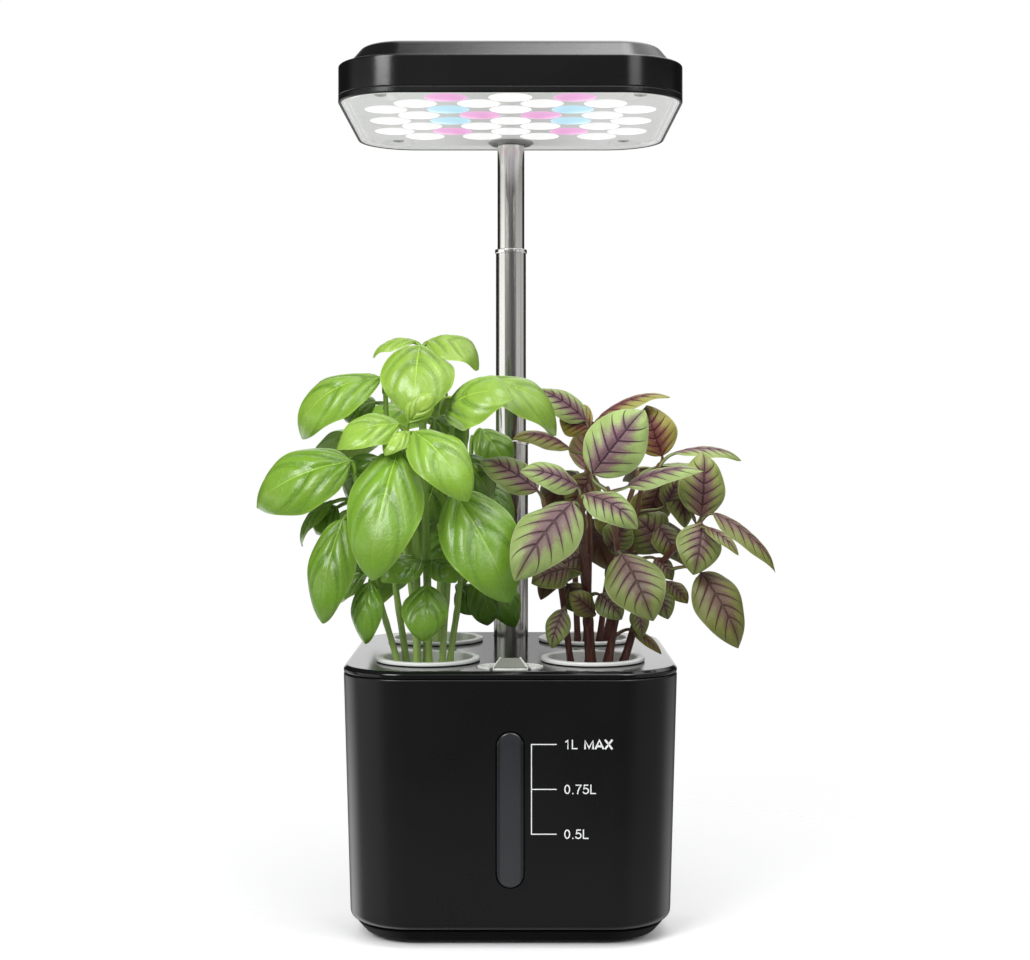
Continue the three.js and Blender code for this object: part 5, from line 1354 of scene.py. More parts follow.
class GARDEN_OT_sponges(bpy.types.Operator):
    """The growing sponges: turned plugs whose faces are roughened by crossing waves"""

    bl_idname = "garden.sponges"
    bl_label = "Growing Sponges"

    def execute(self, context):
        finish = seed_sponge("Sponge Brown", context.scene.garden_plants.sponge)
        for i, pod in enumerate(PODS):
            node = f"sponge_{pod}"
            spot = spot_of(node)
            bottom, top = levels_of(node)
            floor = np.linspace([0, 0, bottom], [13, 0, bottom], 8)
            side = np.linspace([13, 0, bottom], [15.2, 0, top - 0.6], 14)[1:]
            face = np.linspace([14.6, 0, top], [0, 0, top], 16)
            rings = turned_rings(np.concatenate([floor, side, face]), 72, spot)
            x, y, z = np.moveaxis(rings - [*spot, 0], -1, 0)
            bumps = 1 + np.sin(x * 1.9 + i) * np.sin(y * 2.3 - i)
            bumps += 0.6 * np.sin(x * 4.1 - y * 3.3) * np.sin(z * 2.7 + x)
            inward = 1 - 0.012 * bumps
            down = 0.22 * bumps * (z > top - 1)
            rings = np.stack([spot[0] + x * inward, spot[1] + y * inward, z - down], axis=-1)
            name, plug_skin = f"growing_{node}", skin(rings)
            fit(name, f"pod_{pod}", "seed_sponge", node, finish, plug_skin, even=False, sharp=60)
        return {"FINISHED"}


# ---------------------------------------------------------------- plants
#
# Every place below is in millimetres from the middle of the pod's mouth: x to the right, y to the
# back, z up. A stem row is the x and y of its foot, a point on the way, its top and its radius. A leaf
# row is its stem, the foot and the tip of its blade, its width, the way that its face looks, how far
# it arches, and its look: for basil how young it is, for amaranth how olive and how red. Leaves
# further in and lower down get less youth and more olive, which is partly painted shade.

BASIL_FRONT_STEMS = [
    [0, -1, 0, -8, 33.8, -3, -2, 123.6, 2],
    [-4, -5, -4, -13, 42, -7, -24, 91, 1.7],
    [-7, 1, -14, -2, 42, -17, -1, 110.3, 1.5],
    [5, -3, 8, -6, 42, 10, -10, 97.1, 1.5],
    [7, 3, 13, 4, 36.9, 15, 2, 107.3, 1.4],
    [-8, -5, -20, -10, 31.8, -29, -8, 76.7, 1.4],
]

BASIL_FRONT_LEAVES = [
    [0, -5, -2, 125.6, -23, 0, 120.5, 13, 0, -0.3, 1, 0.16, 0.9],
    [0, 0, -2, 125.6, 22, -6, 115.4, 22, 0, -0.5, 1, 0.22, 0.95],
    [0, -3, -7, 123.6, -4, -30, 95, 29, 0, -1, 0.7, 0.16, 0.8],
    [2, -19, -2, 111.4, -52, -1, 86.9, 24, 0, -0.8, 1, 0.24, 0.6],
    [1, -10, -27, 93, -34, -34, 84.8, 18, 0, -1, 0.9, 0.16, 0.75],
    [1, -6, -26, 94, 3, -29, 105.2, 10, 0.3, -1, 0.2, 0.1, 1],
    [1, -6, -28, 89.9, -15, -36, 81.8, 10, 0, -1, 0.9, 0.14, 0.95],
    [1, -4, -27, 89.9, 18, -42, 64.4, 22, 0.2, -1, 0.5, 0.18, 0.65],
    [3, 8, -14, 98.1, 34, -30, 105.2, 26, 0.1, -1, 0.7, 0.18, 0.7],
    [4, 17, 0, 109.3, 53, 8, 88.9, 24, 0.1, -0.7, 1, 0.22, 0.8],
    [5, -30, -9, 78.7, -69, -6, 60.4, 29, 0, -1, 0.8, 0.14, 0.5],
    [1, -10, -29, 82.8, -20, -46, 34.9, 29, -0.1, -1, 0.1, 0.12, 0.55],
    [3, 11, -18, 66.5, 34, -32, 25.7, 30, 0.1, -1, 0.3, 0.14, 0.5],
    [5, -32, -16, 56.3, -40, -24, 16.5, 20, -0.3, -1, 0.2, 0.12, 0.5],
    [5, -38, 6, 62.4, -53, 14, 44, 12, -0.5, -0.4, 0.6, 0.16, 0.45],
    [0, -2, -13, 40, -17, -24, 33.8, 14, 0, -1, 0.8, 0.14, 0.4],
    [0, 2, -12, 40, 12, -20, 32.8, 12, 0.2, -1, 0.8, 0.14, 0.4],
    [0, 0, -17, 30.8, 0, -26, 9.9, 18, 0, -1, 0.2, 0.14, 0.6],
    [5, -22, -13, 31.8, -24, -16, 7.7, 13, -0.2, -1, 0.1, 0.14, 0.55],
    [2, -24, 6, 34.9, -38, 12, 21.6, 13, -0.4, -0.6, 0.7, 0.16, 0.35],
    [4, 19, 10, 31.8, 24, 14, 11, 15, 0.4, -0.9, 0.3, 0.14, 0.3],
    [2, -22, 16, 102, -37, 20, 96, 16, 0, -0.8, 0.8, 0.16, 0.15],
    [5, -37, 10, 60, -47, 12, 49, 14, -0.3, -0.9, 0.4, 0.14, 0.25],
    [4, 12, 12, 28, 22, 10, 17, 15, 0.3, -1, 0.4, 0.14, 0.1],
    [3, 13, 4, 80, 26, 10, 60, 20, 0.3, -1, 0.5, 0.14, 0.1],
    [4, 20, 12, 60, 30, 18, 38, 20, 0.3, -1, 0.4, 0.14, 0.05],
    [4, 10, 12, 52, 3, 16, 31, 19, -0.1, -1, 0.4, 0.14, 0.05],
    [0, 4, 6, 74, -3, 12, 52, 22, 0, -1, 0.4, 0.14, 0.1],
    [2, -20, 8, 80, -34, 14, 60, 22, -0.2, -1, 0.5, 0.14, 0.1],
    [5, -27, 3, 52, -21, 8, 31, 18, -0.1, -1, 0.4, 0.14, 0.1],
    [0, 2, 5, 95, 14, 10, 80, 20, 0.2, -1, 0.5, 0.14, 0.3],
]

BASIL_BACK_STEMS = [
    [0, 1, 2, 6, 35.9, 0, 10, 105.2, 1.9],
    [-5, 3, -14, 12, 37.9, -22, 14, 86.9, 1.6],
    [5, -3, 13, -6, 35.9, 16, -12, 88.9, 1.5],
    [2, 7, 5, 18, 31.8, 4, 26, 72.6, 1.5],
]

BASIL_BACK_LEAVES = [
    [0, -2, 13, 106.3, -20, 30, 99.1, 24, 0, 0.6, 1, 0.2, 0.7],
    [0, 3, 13, 105.2, 10, 36, 88.9, 25, 0, 1, 0.8, 0.18, 0.7],
    [0, 1, 6, 106.3, -12, -18, 105.2, 20, 0, -0.4, 1, 0.2, 0.7],
    [0, -4, 9, 95, -32, 0, 95, 22, 0, -0.5, 1, 0.2, 0.5],
    [2, 20, -13, 91, 31, -17, 72.6, 17, 0.2, -1, 0.4, 0.16, 0.4],
    [2, 19, -12, 68.5, 33, -20, 48.1, 18, 0.2, -1, 0.5, 0.14, 0.25],
    [2, 20, -14, 31.8, 35, -22, 7.7, 17, 0.3, -1, 0.3, 0.14, 0.3],
    [1, -26, 15, 87.9, -58, 26, 74.6, 27, -0.1, 0.5, 1, 0.18, 0.5],
    [1, -23, 10, 76.7, -44, -14, 68.5, 22, -0.2, -0.6, 1, 0.16, 0.35],
    [1, -20, 16, 58.3, -46, 32, 35.9, 26, -0.4, 0.8, 0.7, 0.16, 0.4],
    [3, 6, 29, 73.6, 22, 47, 52.2, 26, 0.2, 1, 0.6, 0.16, 0.5],
    [3, 1, 26, 56.3, -14, 46, 27.7, 27, 0, 1, 0.4, 0.14, 0.4],
    [1, -16, 16, 31.8, -30, 30, 12.1, 18, -0.3, 1, 0.5, 0.14, 0.35],
]

AMARANTH_FRONT_STEMS = [
    [0, -1, -3, -8, 31.2, -6, -24, 66.2, 2.4],
    [5, -3, 10, -8, 35.2, 5, -16, 69.2, 1.6],
    [8, 2, 24, 2, 33.2, 42, -7, 55.2, 1.8],
    [-7, -2, -13, -5, 31.2, -20, -5, 65.2, 1.5],
    [3, 6, 14, 6, 35.2, 20, 4, 71.2, 1.5],
]

AMARANTH_FRONT_LEAVES = [
    [1, -1, -19, 74.2, 20, -15, 100.2, 24, 0.1, -1, 0.4, 0.12, 0, 0],
    [0, -7, -25, 69.2, -29, -30, 76.2, 13, 0, -1, 0.8, 0.12, 0.15, 0],
    [0, -4, -26, 66.2, 16, -35, 54.2, 15, 0.2, -1, 0.8, 0.14, 0.15, 0],
    [0, -9, -28, 63.2, -31, -46, 35.2, 24, -0.1, -1, 0.6, 0.12, 0, 0],
    [3, -22, -6, 67.2, -45, 4, 80.2, 15, 0, -1, 0.6, 0.12, 0.55, 0.1],
    [1, 13, -15, 69.2, 42, -20, 76.2, 12, 0, -0.7, 1, 0.1, 0.1, 0],
    [2, 42, -7, 57.2, 44, -2, 83.2, 19, 0.1, -1, 0.1, 0.08, 0.5, 0.3],
    [2, 42, -10, 54.2, 38, -20, 35.2, 18, 0.1, -1, 0.3, 0.12, 0.35, 0.2],
    [2, 47, -7, 58.2, 71.5, -12, 36.2, 12, 0.4, -0.7, 1, 0.1, 0.7, 0.3],
    [2, 43, -14, 53.2, 55, -22, 43.2, 6, 0.3, -1, 0.8, 0.12, 0.6, 0.3],
    [2, 42, -8, 35.2, 57, -16, 6.5, 20, 0.2, -1, 0.2, 0.12, 0.6, 0.4],
    [1, 10, -22, 43.2, 21, -36, 19.2, 23, 0.1, -1, 0.3, 0.12, 0.5, 0.1],
    [4, 27, 12, 67.2, 20, 20, 49.2, 17, 0.2, -1, 0.3, 0.1, 0.9, 0.6],
    [4, 26, 6, 53.2, 34, 2, 39.2, 12, 0.2, -1, 0.4, 0.12, 0.8, 0.3],
    [0, -10, -14, 37.2, -25, -18, 32.2, 13, -0.1, -1, 0.5, 0.14, 1, 0.2],
    [0, 2, -14, 27.2, 11, -19, 18.2, 12, 0.2, -1, 0.4, 0.14, 0.6, 0],
    [3, -12, -12, 21.2, -17, -16, 6.5, 10, -0.2, -1, 0.2, 0.12, 0.1, 0.1],
    [2, 17, -5, 21.2, 19, -10, 9.7, 8, 0.2, -1, 0.3, 0.12, 0.6, 0.2],
    [2, 29, -3, 31.2, 37, -8, 23.2, 8, 0.3, -1, 0.4, 0.12, 0.9, 0.4],
    [4, 29, 2, 61.2, 34, -2, 73.2, 9, 0.2, -1, 0.3, 0.1, 0.6, 0.2],
    [4, 7, 1, 44, 14, -3, 56, 13, 0.1, -1, 0.3, 0.12, 0.9, 0.1],
    [4, 29, 8, 44, 16, 4, 58, 20, 0, -1, 0.3, 0.12, 0.9, 0.2],
    [2, 33, 5, 70, 37, 0, 52, 12, 0.2, -1, 0.3, 0.12, 0.8, 0.3],
    [3, -3, -8, 42, -15, -4, 36, 14, -0.1, -1, 0.6, 0.14, 0.9, 0.2],
    [0, 0, -11, 20, -10, -14, 28, 10, -0.1, -1, 0.4, 0.12, 0.8, 0.5],
    [2, 24, -5, 30, 29, -10, 17, 11, 0.2, -1, 0.3, 0.12, 0.6, 0.1],
    [4, 25, 2, 40, 32, -3, 32, 9, 0.3, -1, 0.4, 0.12, 0.9, 0.3],
    [1, 16, -2, 12, 27, -5, 3, 4.5, 0.3, -1, 0.4, 0.1, 0.9, 1],
    [0, -4, 2, 60, -14, 6, 48, 15, -0.2, -1, 0.4, 0.12, 0.95, 0.3],
    [1, 6, 2, 62, 12, 6, 46, 16, 0.1, -1, 0.4, 0.12, 0.95, 0.4],
    [3, -10, 0, 30, -3, 4, 18, 12, 0, -1, 0.4, 0.12, 0.9, 0.3],
    [4, 14, 8, 34, 20, 10, 20, 13, 0.2, -1, 0.4, 0.12, 0.9, 0.3],
]

AMARANTH_BACK_STEMS = [
    [0, -1, 1, -8, 37.2, 1, -16, 91.2, 1.8],
    [5, -2, 16, -10, 37.2, 30, -22, 77.2, 1.6],
    [4, 4, 12, 12, 35.2, 24, 14, 73.2, 1.6],
    [-3, 6, -4, 18, 35.2, -2, 24, 71.2, 1.6],
]

AMARANTH_BACK_LEAVES = [
    [1, 31, -23, 80.2, 24, -21, 102.2, 19, -0.2, -1, 0.1, 0.1, 0.3, 1],
    [0, 5, -20, 96.2, 34, -26, 106.2, 13, 0, -0.5, 1, 0.1, 0.2, 0.8],
    [0, -1, -18, 95.2, -23, -16, 109.2, 14, 0, -1, 0.7, 0.12, 0.2, 0.1],
    [0, -8, -20, 83.2, -32, -24, 88.2, 12, 0, -0.6, 1, 0.14, 0.5, 0.6],
    [1, 36, -24, 81.2, 65, -22, 79.2, 12, 0, -0.3, 1, 0.1, 0.2, 0.1],
    [2, 30, 14, 74.2, 62, 16, 67.2, 16, 0.1, 0.3, 1, 0.14, 0.3, 0.1],
    [2, 24, 18, 74.2, 34, 42, 61.2, 21, 0.2, 1, 0.8, 0.14, 0.3, 0.1],
    [2, 24, 13, 51.2, 50, 26, 29.2, 20, 0.4, 0.8, 0.6, 0.14, 0.5, 0.2],
    [3, -3, 27, 72.2, -16, 47, 53.2, 22, -0.1, 1, 0.6, 0.14, 0.3, 0],
    [3, 1, 24, 73.2, 4, 32, 95.2, 18, 0, 1, 0.2, 0.1, 0.2, 0.3],
    [3, 0, 23, 51.2, 12, 44, 27.2, 21, 0.1, 1, 0.4, 0.14, 0.5, 0.2],
    [2, 12, 14, 33.2, 26, 30, 13, 16, 0.3, 1, 0.4, 0.12, 0.7, 0.2],
    [3, -6, 18, 33.2, -20, 34, 15.1, 16, -0.3, 1, 0.4, 0.12, 0.6, 0.2],
    [0, 1, -17, 92, -12, -14, 100, 16, -0.1, -1, 0.3, 0.12, 0.6, 1],
    [0, 3, -12, 72, -8, -10, 56, 16, -0.1, -1, 0.4, 0.12, 0.9, 0.6],
    [1, 22, -14, 58, 30, -18, 42, 17, 0.2, -1, 0.4, 0.12, 0.9, 0.4],
]

PLANTS = (
    ("front_left", "basil_plant_front", "basil", BASIL_FRONT_STEMS, BASIL_FRONT_LEAVES),
    ("front_right", "amaranth_plant_front", "amaranth", AMARANTH_FRONT_STEMS, AMARANTH_FRONT_LEAVES),
    ("back_right", "amaranth_plant_back", "amaranth", AMARANTH_BACK_STEMS, AMARANTH_BACK_LEAVES),
    ("back_left", "basil_plant_back", "basil", BASIL_BACK_STEMS, BASIL_BACK_LEAVES),
)

# The outline's powers at the root and the tip; the side veins' pairs, sweep, bend and first start; the
# start past which the swelling ends and how soon; the depth of the swelling and of the midrib's groove,
# as shares of the width; the petiole's thickness; and the corners of the stem
BLADES = {
    "basil": {
        "root": 0.56, "tip": 0.74, "pairs": 3.5, "sweep": 0.55, "bend": 1.6, "first": 0.08,
        "last": 0.48, "fade": 0.2, "swell": 0.075, "groove": 0.03, "stalk": 1.0, "corners": 4,
    },
    "amaranth": {
        "root": 0.56, "tip": 0.84, "pairs": 6.4, "sweep": 0.26, "bend": 1.2, "first": 0.0,
        "last": 0.82, "fade": 0.12, "swell": 0.034, "groove": 0.02, "stalk": 0.75, "corners": 7,
    },
}
STALK_RINGS = 8
BLADE_RINGS = 41


def unit(vectors):
    """Vectors divided by their own lengths."""
    return vectors / np.maximum(np.linalg.norm(vectors, axis=-1, keepdims=True), 1e-9)


def pod_spot(pod, places):
    """Places from the middle of a pod's mouth as places in the frame."""
    return [*spot_of(f"basket_{pod}"), POD_MOUTH] + places


def cubic(t, start, end, leave, arrive):
    """The cubic from start to end whose slopes there are leave and arrive, for t from 0 to 1."""
    return (
        (2 * t**3 - 3 * t**2 + 1) * start
        + (t**3 - 2 * t**2 + t) * leave
        + (3 * t**2 - 2 * t**3) * end
        + (t**3 - t**2) * arrive
    )


def stem_lines(pod, rows):
    """Smooth lines through each stem's foot, the pod's mouth, its way point and its top. Each stretch is
    a cubic whose end slopes are the slopes of the chords about its ends, timed by the root of the
    chords' lengths."""
    way = pod_spot(pod, rows[:, 2:5])
    top = pod_spot(pod, rows[:, 5:8])
    base = pod_spot(pod, np.pad(rows[:, :2], ((0, 0), (0, 1))))
    base[:, 2] = STEM_FOOT
    mouth = base + (way - base) * (15 / (way - base)[:, 2:])
    knots = np.stack([base, mouth, way, top], axis=1)
    gaps = np.sqrt(np.linalg.norm(np.diff(knots, axis=1), axis=-1, keepdims=True))
    chords = np.diff(knots, axis=1) / gaps
    inner = (knots[:, 2:] - knots[:, :-2]) / (gaps[:, 1:] + gaps[:, :-1])
    slopes = np.concatenate([chords[:, :1], inner, chords[:, -1:]], axis=1)
    t = np.linspace(0, 1, 24, endpoint=False)[:, None]
    leave, arrive = (slopes[:, :-1] * gaps)[:, :, None], (slopes[:, 1:] * gaps)[:, :, None]
    line = cubic(t, knots[:, :-1, None], knots[:, 1:, None], leave, arrive)
    return np.concatenate([line.reshape(len(rows), -1, 3), knots[:, -1:]], axis=1)


def stem_skins(lines, radii, corners):
    """Tubes about the stem lines. The radius falls by two fifths to the top, swells at the joints, and
    swings round the stem with its number of corners."""
    tangent = unit(np.gradient(lines, axis=1))
    side = unit(np.cross(tangent, [0, 1.0, 0.1]))
    front = np.cross(tangent, side)
    angle = np.linspace(0, 2 * np.pi, 20, endpoint=False)
    share = np.linspace(0, 1, lines.shape[1])[:, None]
    swell = 1 + 0.12 * np.exp(-(((share * 5) % 1 - 0.5) * 9) ** 2)
    reach = radii[:, None, None] * (1 - 0.4 * share) * swell * (1 + 0.06 * np.cos(corners * angle))
    reach[:, -1] *= 0.6
    rings = (
        lines[:, :, None]
        + side[:, :, None] * (reach * np.cos(angle))[..., None]
        + front[:, :, None] * (reach * np.sin(angle))[..., None]
    )
    return [skin(stack) for stack in rings]


def outline(share, root, tip):
    """A blade's half width: a power of the share of the length times a power of what is left of it,
    scaled to 1 where it is widest."""
    widest = root / (root + tip)
    return share**root * (1 - share) ** tip / (widest**root * (1 - widest) ** tip)


def leaf_middles(lines, rows, pod, share):
    """The midribs of the blades with their petioles, and the directions across and up along them. A
    midrib runs from foot to tip and lifts by an arch. A petiole is a cubic from the stem to the foot."""
    foot = pod_spot(pod, rows[:, 1:4])
    tip = pod_spot(pod, rows[:, 4:7])
    face = rows[:, 8:11]
    line = lines[rows[:, 0].astype(int)]
    target = np.minimum(foot[:, 2] - 3, line[:, -3, 2])
    joint = np.abs(line[:, :, 2] - target[:, None]).argmin(axis=1)
    root = line[np.arange(len(rows)), joint]

    along = tip - foot
    length = np.linalg.norm(along, axis=-1, keepdims=True)
    lift = unit(np.cross(np.cross(along, face), along)) * 4 * rows[:, 11:12] * length
    s = share[None, :, None]
    blade = foot[:, None] + along[:, None] * s + lift[:, None] * s * (1 - s)
    heading = along[:, None] + lift[:, None] * (1 - 2 * s)
    side = unit(np.cross(heading, face[:, None]))
    up = unit(np.cross(side, heading))
    twist = 0.35 * np.sin(np.arange(len(rows)) * 2.7)[:, None, None] * (s - 0.25)
    side, up = side * np.cos(twist) + up * np.sin(twist), up * np.cos(twist) - side * np.sin(twist)

    t = np.linspace(0, 1, STALK_RINGS + 1)[None, :-1, None]
    gap = np.linalg.norm(foot - root, axis=-1)[:, None, None]
    leave = (foot - root)[:, None] * 0.7 + gap * np.array([0, 0, 0.35])
    stalk = cubic(t, root[:, None], foot[:, None], leave, unit(heading[:, :1]) * gap * 1.1)
    stalk_heading = unit(np.gradient(np.concatenate([stalk, foot[:, None]], axis=1), axis=1)[:, :-1])
    across = side[:, :1] - stalk_heading * (side[:, :1] * stalk_heading).sum(-1, keepdims=True)
    stalk_side = unit(across)
    stalk_up = unit(np.cross(stalk_side, stalk_heading))
    pairs = (stalk, blade), (stalk_side, side), (stalk_up, up)
    return [np.concatenate(pair, axis=1)[:, :, None] for pair in pairs]


def leaf_skins(lines, rows, pod, kind):
    """Leaf blades with their petioles. A blade is a grid of the share of its length and of a loop round
    its cross-section. Its width follows the outline, both halves bend down from the midrib, the surface
    swells between the side veins, the midrib is a groove and the margins are wavy."""
    shape = BLADES[kind]
    share = np.sin(np.linspace(0, np.pi / 2, BLADE_RINGS)) ** 1.15
    middle, side, up = leaf_middles(lines, rows, pod, share)
    width = rows[:, 7, None, None]
    look = rows[:, 12:]

    over = np.linspace(-1, 1, 21)
    v = np.concatenate([over, over[::-1][1:-1]])[None, None]
    under = np.concatenate([np.zeros(21), np.ones(19)])[None, None]
    dome = np.sqrt(1 - v**2) * (1 - 2 * under)
    none = np.zeros(STALK_RINGS)
    s = np.concatenate([none, share])[None, :, None]
    on_blade = np.concatenate([none, np.minimum(1, share * 7)])[None, :, None]
    petiole = [[0.0], np.linspace(1.05, 0.8, STALK_RINGS - 1), 0.75 * (1 - share) ** 0.7]
    petiole = np.concatenate(petiole)[None, :, None] * shape["stalk"]
    half = np.maximum(outline(s, shape["root"], shape["tip"]) * width / 2, petiole)
    thick = np.maximum(petiole * (1 - on_blade), 0.32 * (1 - s) ** 0.4 * on_blade)
    thick = np.maximum(thick, petiole * np.exp(-((v / 0.09) ** 2)) * (under + 0.25))
    edge = np.abs(v)
    turn = np.arange(len(rows))[:, None, None] * 2.4
    start = s - shape["first"] - shape["sweep"] * edge ** shape["bend"]
    swell = np.abs(np.sin(np.pi * shape["pairs"] * start)) ** 0.7 * edge**0.35 * (1 - edge**2)
    relief = width * shape["swell"] * swell * np.clip((shape["last"] - start) / shape["fade"], 0, 1)
    groove = -width * shape["groove"] * np.exp(-((v / 0.07) ** 2)) * (1 - s)
    wave = width * 0.022 * edge**3 * np.sin(s * 13 + turn + 1.7 * np.sign(v))
    droop = -width * 0.12 * np.clip((s - 0.72) / 0.28, 0, 1) ** 2
    cup = -0.3 * half * v**2 * (1 + 0.25 * np.sin(turn + s * 3))
    rise = (cup + relief + groove + wave + droop) * on_blade + thick * dome
    rings = middle + side * (half * v)[..., None] + up * rise[..., None]

    data = {"blade": np.zeros(rings.shape), "look": np.zeros(rings.shape)}
    for place, value in enumerate((s, v, width)):
        data["blade"][..., place] = value
    data["look"][..., : look.shape[1]] = look[:, None, None]
    data["look"][..., 2] = under * on_blade
    return [skin(stack) for stack in rings], data


class GARDEN_OT_plants(bpy.types.Operator):
    """The two basil and two amaranth plants, each as its stems and its leaves"""

    bl_idname = "garden.plants"
    bl_label = "Plants"

    def execute(self, context):
        own = context.scene.garden_plants
        leaves = {
            "basil": basil_leaf("Basil Leaf", own.deep, own.fresh, own.young),
            "amaranth": amaranth_leaf("Amaranth Leaf", own.pale, own.olive, own.purple, own.dark),
        }
        stems = {
            "basil": green_stem("Basil Stem", (0.3, 0.42, 0.12), (0.19, 0.33, 0.05), 105, 150),
            "amaranth": green_stem(
                "Amaranth Stem", (0.05, 0.004, 0.007), (0.14, 0.075, 0.035), 135, 180
            ),
        }
        for pod, node, kind, stem_rows, leaf_rows in PLANTS:
            stem_rows, leaf_rows = np.array(stem_rows, float), np.array(leaf_rows, float)
            lines = stem_lines(pod, stem_rows)
            x, y = spot_of(f"basket_{pod}")
            rows = [[0, 89.6, 0], [11.3, 89.6, 0], [9.5, STEM_FOOT, 2], [0, 92.6, 0]]
            crown = turned(rows, 40, (x, y))
            tubes = stem_skins(lines, stem_rows[:, 8], BLADES[kind]["corners"])
            name = f"{kind}_stems_{pod}"
            stalks = mesh_of(name, crown, *tubes, finish=stems[kind], outward=True)
            blades, data = leaf_skins(lines, leaf_rows, pod, kind)
            name = f"{kind}_leaves_{pod}"
            leafage = mesh_of(name, *blades, finish=leaves[kind], outward=True, sharp=75, data=data)
            for piece in (stalks, leafage):
                seat(piece, f"pod_{pod}", f"{kind}_leaf", node)
                x * MM
                y * MM
                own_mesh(piece)
        return {"FINISHED"}


# ---------------------------------------------------------------- inner parts and stage


class GARDEN_OT_inner_parts(bpy.types.Operator):
    """Finishes for the parts that keep their CAD shape"""

    bl_idname = "garden.inner_parts"
    bl_label = "Inner Parts"

    def execute(self, context):
        shell = context.scene.garden_tank.shell
        control_face = levels_of("control_board")[0] + 1.6
        driver_face = levels_of("driver_board")[0] + 3.9
        finishes = {
            "window_seal": moulded("Seal Rubber", (0.09, 0.09, 0.1), 0.7, grain=0.03),
            "control_box": moulded("Box Black", shell, 0.45, grain=0.03),
            "control_board": circuit_board("Control Board", (0.014, 0.1, 0.034), control_face),
            "pump_housing": moulded("Pump Grey", (0.16, 0.17, 0.175), 0.42, grain=0.03),
            "pump_cover": moulded("Pump Cover Grey", (0.12, 0.13, 0.135), 0.45, grain=0.03),
            "pump_impeller": moulded("Impeller White", (0.7, 0.71, 0.69), 0.35),
            "riser_tube": moulded("Riser White", (0.68, 0.69, 0.67), 0.38),
            "led_board": lamp_board("Lamp Board", (0.81, 0.81, 0.79)),
            "heat_spreader": rolled_aluminium("Spreader Aluminium", (0.48, 0.5, 0.53)),
            "driver_board": circuit_board("Driver Board", (0.014, 0.1, 0.034), driver_face),
            "tube_anchor": moulded("Anchor Grey", (0.16, 0.17, 0.175), 0.5, grain=0.03),
        }
        for name, finish in finishes.items():
            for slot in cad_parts[name].material_slots:
                slot.material = finish
        return {"FINISHED"}


# The camera's shift, as a share of the frame's width, and how many metres it stands to the right
CAMERA_SHIFT = -0.0466
CAMERA_ASIDE = 0.0018


def world_light(context):
    """White to the eye and through glass. Gloss sees a studio: white behind with a narrow dark flag in
    its middle, a bright strip at the left, a paler one at the right, a grey front that darkens to the
    right, low rim strips towards the back and a sky that brightens to the right. The rest gets soft
    light that is brightest from above."""
    world = bpy.data.worlds.new("Studio")
    context.scene.world = world
    world.use_nodes = True
    tree = world.node_tree
    background = tree.nodes["Background"]
    path = add_node(tree, "ShaderNodeLightPath")
    direction = add_node(tree, "ShaderNodeTexCoord")["Generated"]
    parts = add_node(tree, "ShaderNodeSeparateXYZ", {0: direction})
    x, y, z = (Value(tree, socket) for socket in parts)
    turn = x.math("ARCTAN2", y * -1.0) * (180 / math.pi)
    aside = abs(turn)
    back = aside.span(158, 168, 0.0, 1.18, smooth=True)
    flag = aside.span(177.5, 178.8, 0.0, 1.0, smooth=True) * z.fall(0.0, 0.3)
    left = turn.span(-108, -92, 0.0, 1.6, smooth=True) * turn.fall(-52, -42, smooth=True)
    right = turn.span(32, 44, 0.0, 0.7, smooth=True) * turn.fall(104, 118, smooth=True)
    front = turn.span(-14, 14, 0.24, 0.06) * aside.fall(34, 50, smooth=True)
    strips = (left + right) * z.fall(0.14, 0.18)
    studio = (back * (1.0 - flag) + strips + front + 0.02) * z.span(-0.22, 0.02, 0.22, 1.0)
    rim = aside.span(104, 118, 0.0, 1.0, smooth=True) * aside.fall(140, 158, smooth=True)
    sky = z.span(0.35, 0.8, 0.0, 1.0, smooth=True) * x.span(-0.07, 0.09, 0.04, 2.0)
    studio = studio + rim * z.span(-0.3, -0.06, 2.4, 0.0) * x.span(-0.1, 0.1, 1.0, 0.45) + sky
    glossy = Value(tree, path["Is Glossy Ray"])
    through = Value(tree, path["Is Transmission Ray"])
    clear = Value(tree, path["Is Camera Ray"]).at_least(through)
    soft = z.span(-0.2, 1.0, 0.36, 0.85)
    level = glossy * (studio - soft) + soft
    level = clear * (1.0 - level) + level
    tree.links.new(level.socket, background.inputs["Strength"])
    background.inputs["Color"].default_value = (1, 1, 1, 1)


def softbox(name, place, aim, size, power):
    """A soft lamp at a place in millimetres, turned towards its aim."""
    light = bpy.data.lights.new(name, "AREA")
    light.shape = "RECTANGLE"
    light.size, light.size_y = size[0] * MM, size[1] * MM
    light.energy = power
    lamp = bpy.data.objects.new(name, light)
    bpy.context.scene.collection.objects.link(lamp)
    spot, target = Vector(place) * MM, Vector(aim) * MM
    lamp.location = spot
    lamp.rotation_euler = (target - spot).to_track_quat("-Z", "Y").to_euler()


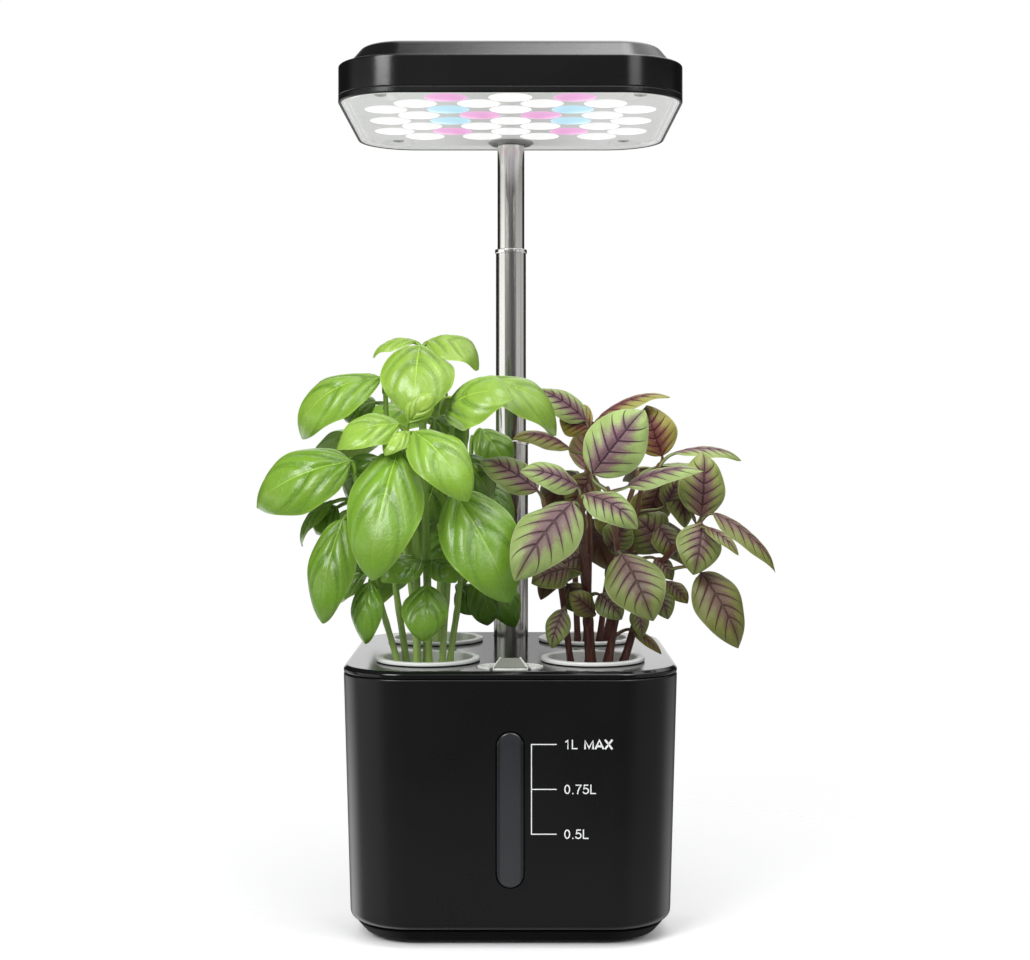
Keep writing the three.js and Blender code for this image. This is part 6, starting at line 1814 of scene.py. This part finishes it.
class GARDEN_OT_stage(bpy.types.Operator):
    """The floor, the world, the soft lamps and the camera"""

    bl_idname = "garden.stage"
    bl_label = "Stage"

    def execute(self, context):
        settings = context.scene.garden_stage
        finish = Finish("Floor White", settings.floor, 0.6, Specular_IOR_Level=0.1)
        speck = finish.noise(300, detail=2)
        finish.mottle(speck, settings.floor, 0.995, 1.005)
        x, y, _ = finish.axes()
        reach = (x**2 + y**2) ** 0.5
        glossy = Value(finish.tree, finish.add("LightPath")["Is Glossy Ray"])
        fade = reach.fall(0.1, 0.4, smooth=True) * y.span(-0.05, -0.01, 1.0, 0.4)
        fade = fade * (1.0 - glossy * 0.8)
        finish.mix_shaders(fade, finish.add("BsdfTransparent")[0], finish.shader.outputs[0])
        rings = turned_rings([[2200, 0, -0.02], [900, 0, -0.02], [300, 0, -0.02], [0, 0, -0.02]], 64)
        points, faces = rings.reshape(-1, 3), ring_faces(4, 64, False)
        floor = mesh_of("floor", (points, faces), finish=finish.material)

        world_light(context)
        softbox("Left softbox", (-440, -690, 740), (0, 0, 180), (380, 560), 7.5)
        softbox("Right softbox", (400, -760, 700), (0, 0, 180), (300, 500), 1.8)
        softbox("Top softbox", (250, -200, 1150), (80, 0, 120), (340, 620), 4.0)

        camera = bpy.data.cameras.new("Camera")
        camera.lens = settings.lens
        camera.sensor_width = 36
        camera.shift_y = CAMERA_SHIFT
        camera.clip_start, camera.clip_end = 0.02, 20
        eye = bpy.data.objects.new("Camera", camera)
        context.scene.collection.objects.link(eye)
        eye.location = (CAMERA_ASIDE, -settings.distance * MM, settings.height * MM)
        eye.rotation_euler = (math.pi / 2, 0, 0)
        context.scene.camera = eye
        context.scene.view_settings.view_transform = "Standard"
        return {"FINISHED"}


class GARDEN_PT_panel(bpy.types.Panel):
    """Lists the garden's pieces in the sidebar"""

    bl_idname = "GARDEN_PT_panel"
    bl_label = "Hydroponic Garden"
    bl_space_type = "VIEW_3D"
    bl_region_type = "UI"
    bl_category = "Garden"

    def draw(self, context):
        for operator in OPERATORS:
            self.layout.operator(operator.bl_idname)
        for name in SETTINGS:
            box = self.layout.box()
            group = getattr(context.scene, name)
            for key in group.bl_rna.properties.keys():
                if key not in ("rna_type", "name"):
                    box.prop(group, key)


SETTINGS = {
    "garden_tank": TankSettings,
    "garden_deck": DeckSettings,
    "garden_lamp": LampSettings,
    "garden_plants": PlantSettings,
    "garden_stage": StageSettings,
}

OPERATORS = (
    GARDEN_OT_stage, GARDEN_OT_tank_shell, GARDEN_OT_water_window, GARDEN_OT_level_marks,
    GARDEN_OT_plinth, GARDEN_OT_feet, GARDEN_OT_screws, GARDEN_OT_deck_shell, GARDEN_OT_fill_cap,
    GARDEN_OT_pole_tubes, GARDEN_OT_pole_collars, GARDEN_OT_power_socket, GARDEN_OT_lamp_shell,
    GARDEN_OT_lamp_rim, GARDEN_OT_lens_panel, GARDEN_OT_lens_domes, GARDEN_OT_power_button,
    GARDEN_OT_baskets, GARDEN_OT_sponges, GARDEN_OT_plants, GARDEN_OT_inner_parts,
)


def register():
    for group in SETTINGS.values():
        bpy.utils.register_class(group)
    for operator in OPERATORS:
        bpy.utils.register_class(operator)
    bpy.utils.register_class(GARDEN_PT_panel)
    for name, group in SETTINGS.items():
        setattr(bpy.types.Scene, name, bpy.props.PointerProperty(type=group))


def unregister():
    for name in SETTINGS:
        delattr(bpy.types.Scene, name)
    bpy.utils.unregister_class(GARDEN_PT_panel)
    for operator in reversed(OPERATORS):
        bpy.utils.unregister_class(operator)
    for group in reversed(SETTINGS.values()):
        bpy.utils.unregister_class(group)


def main():
    register()
    for operator in OPERATORS:
        group, name = operator.bl_idname.split(".")
        getattr(getattr(bpy.ops, group), name)()


if __name__ == "__main__":
    main()
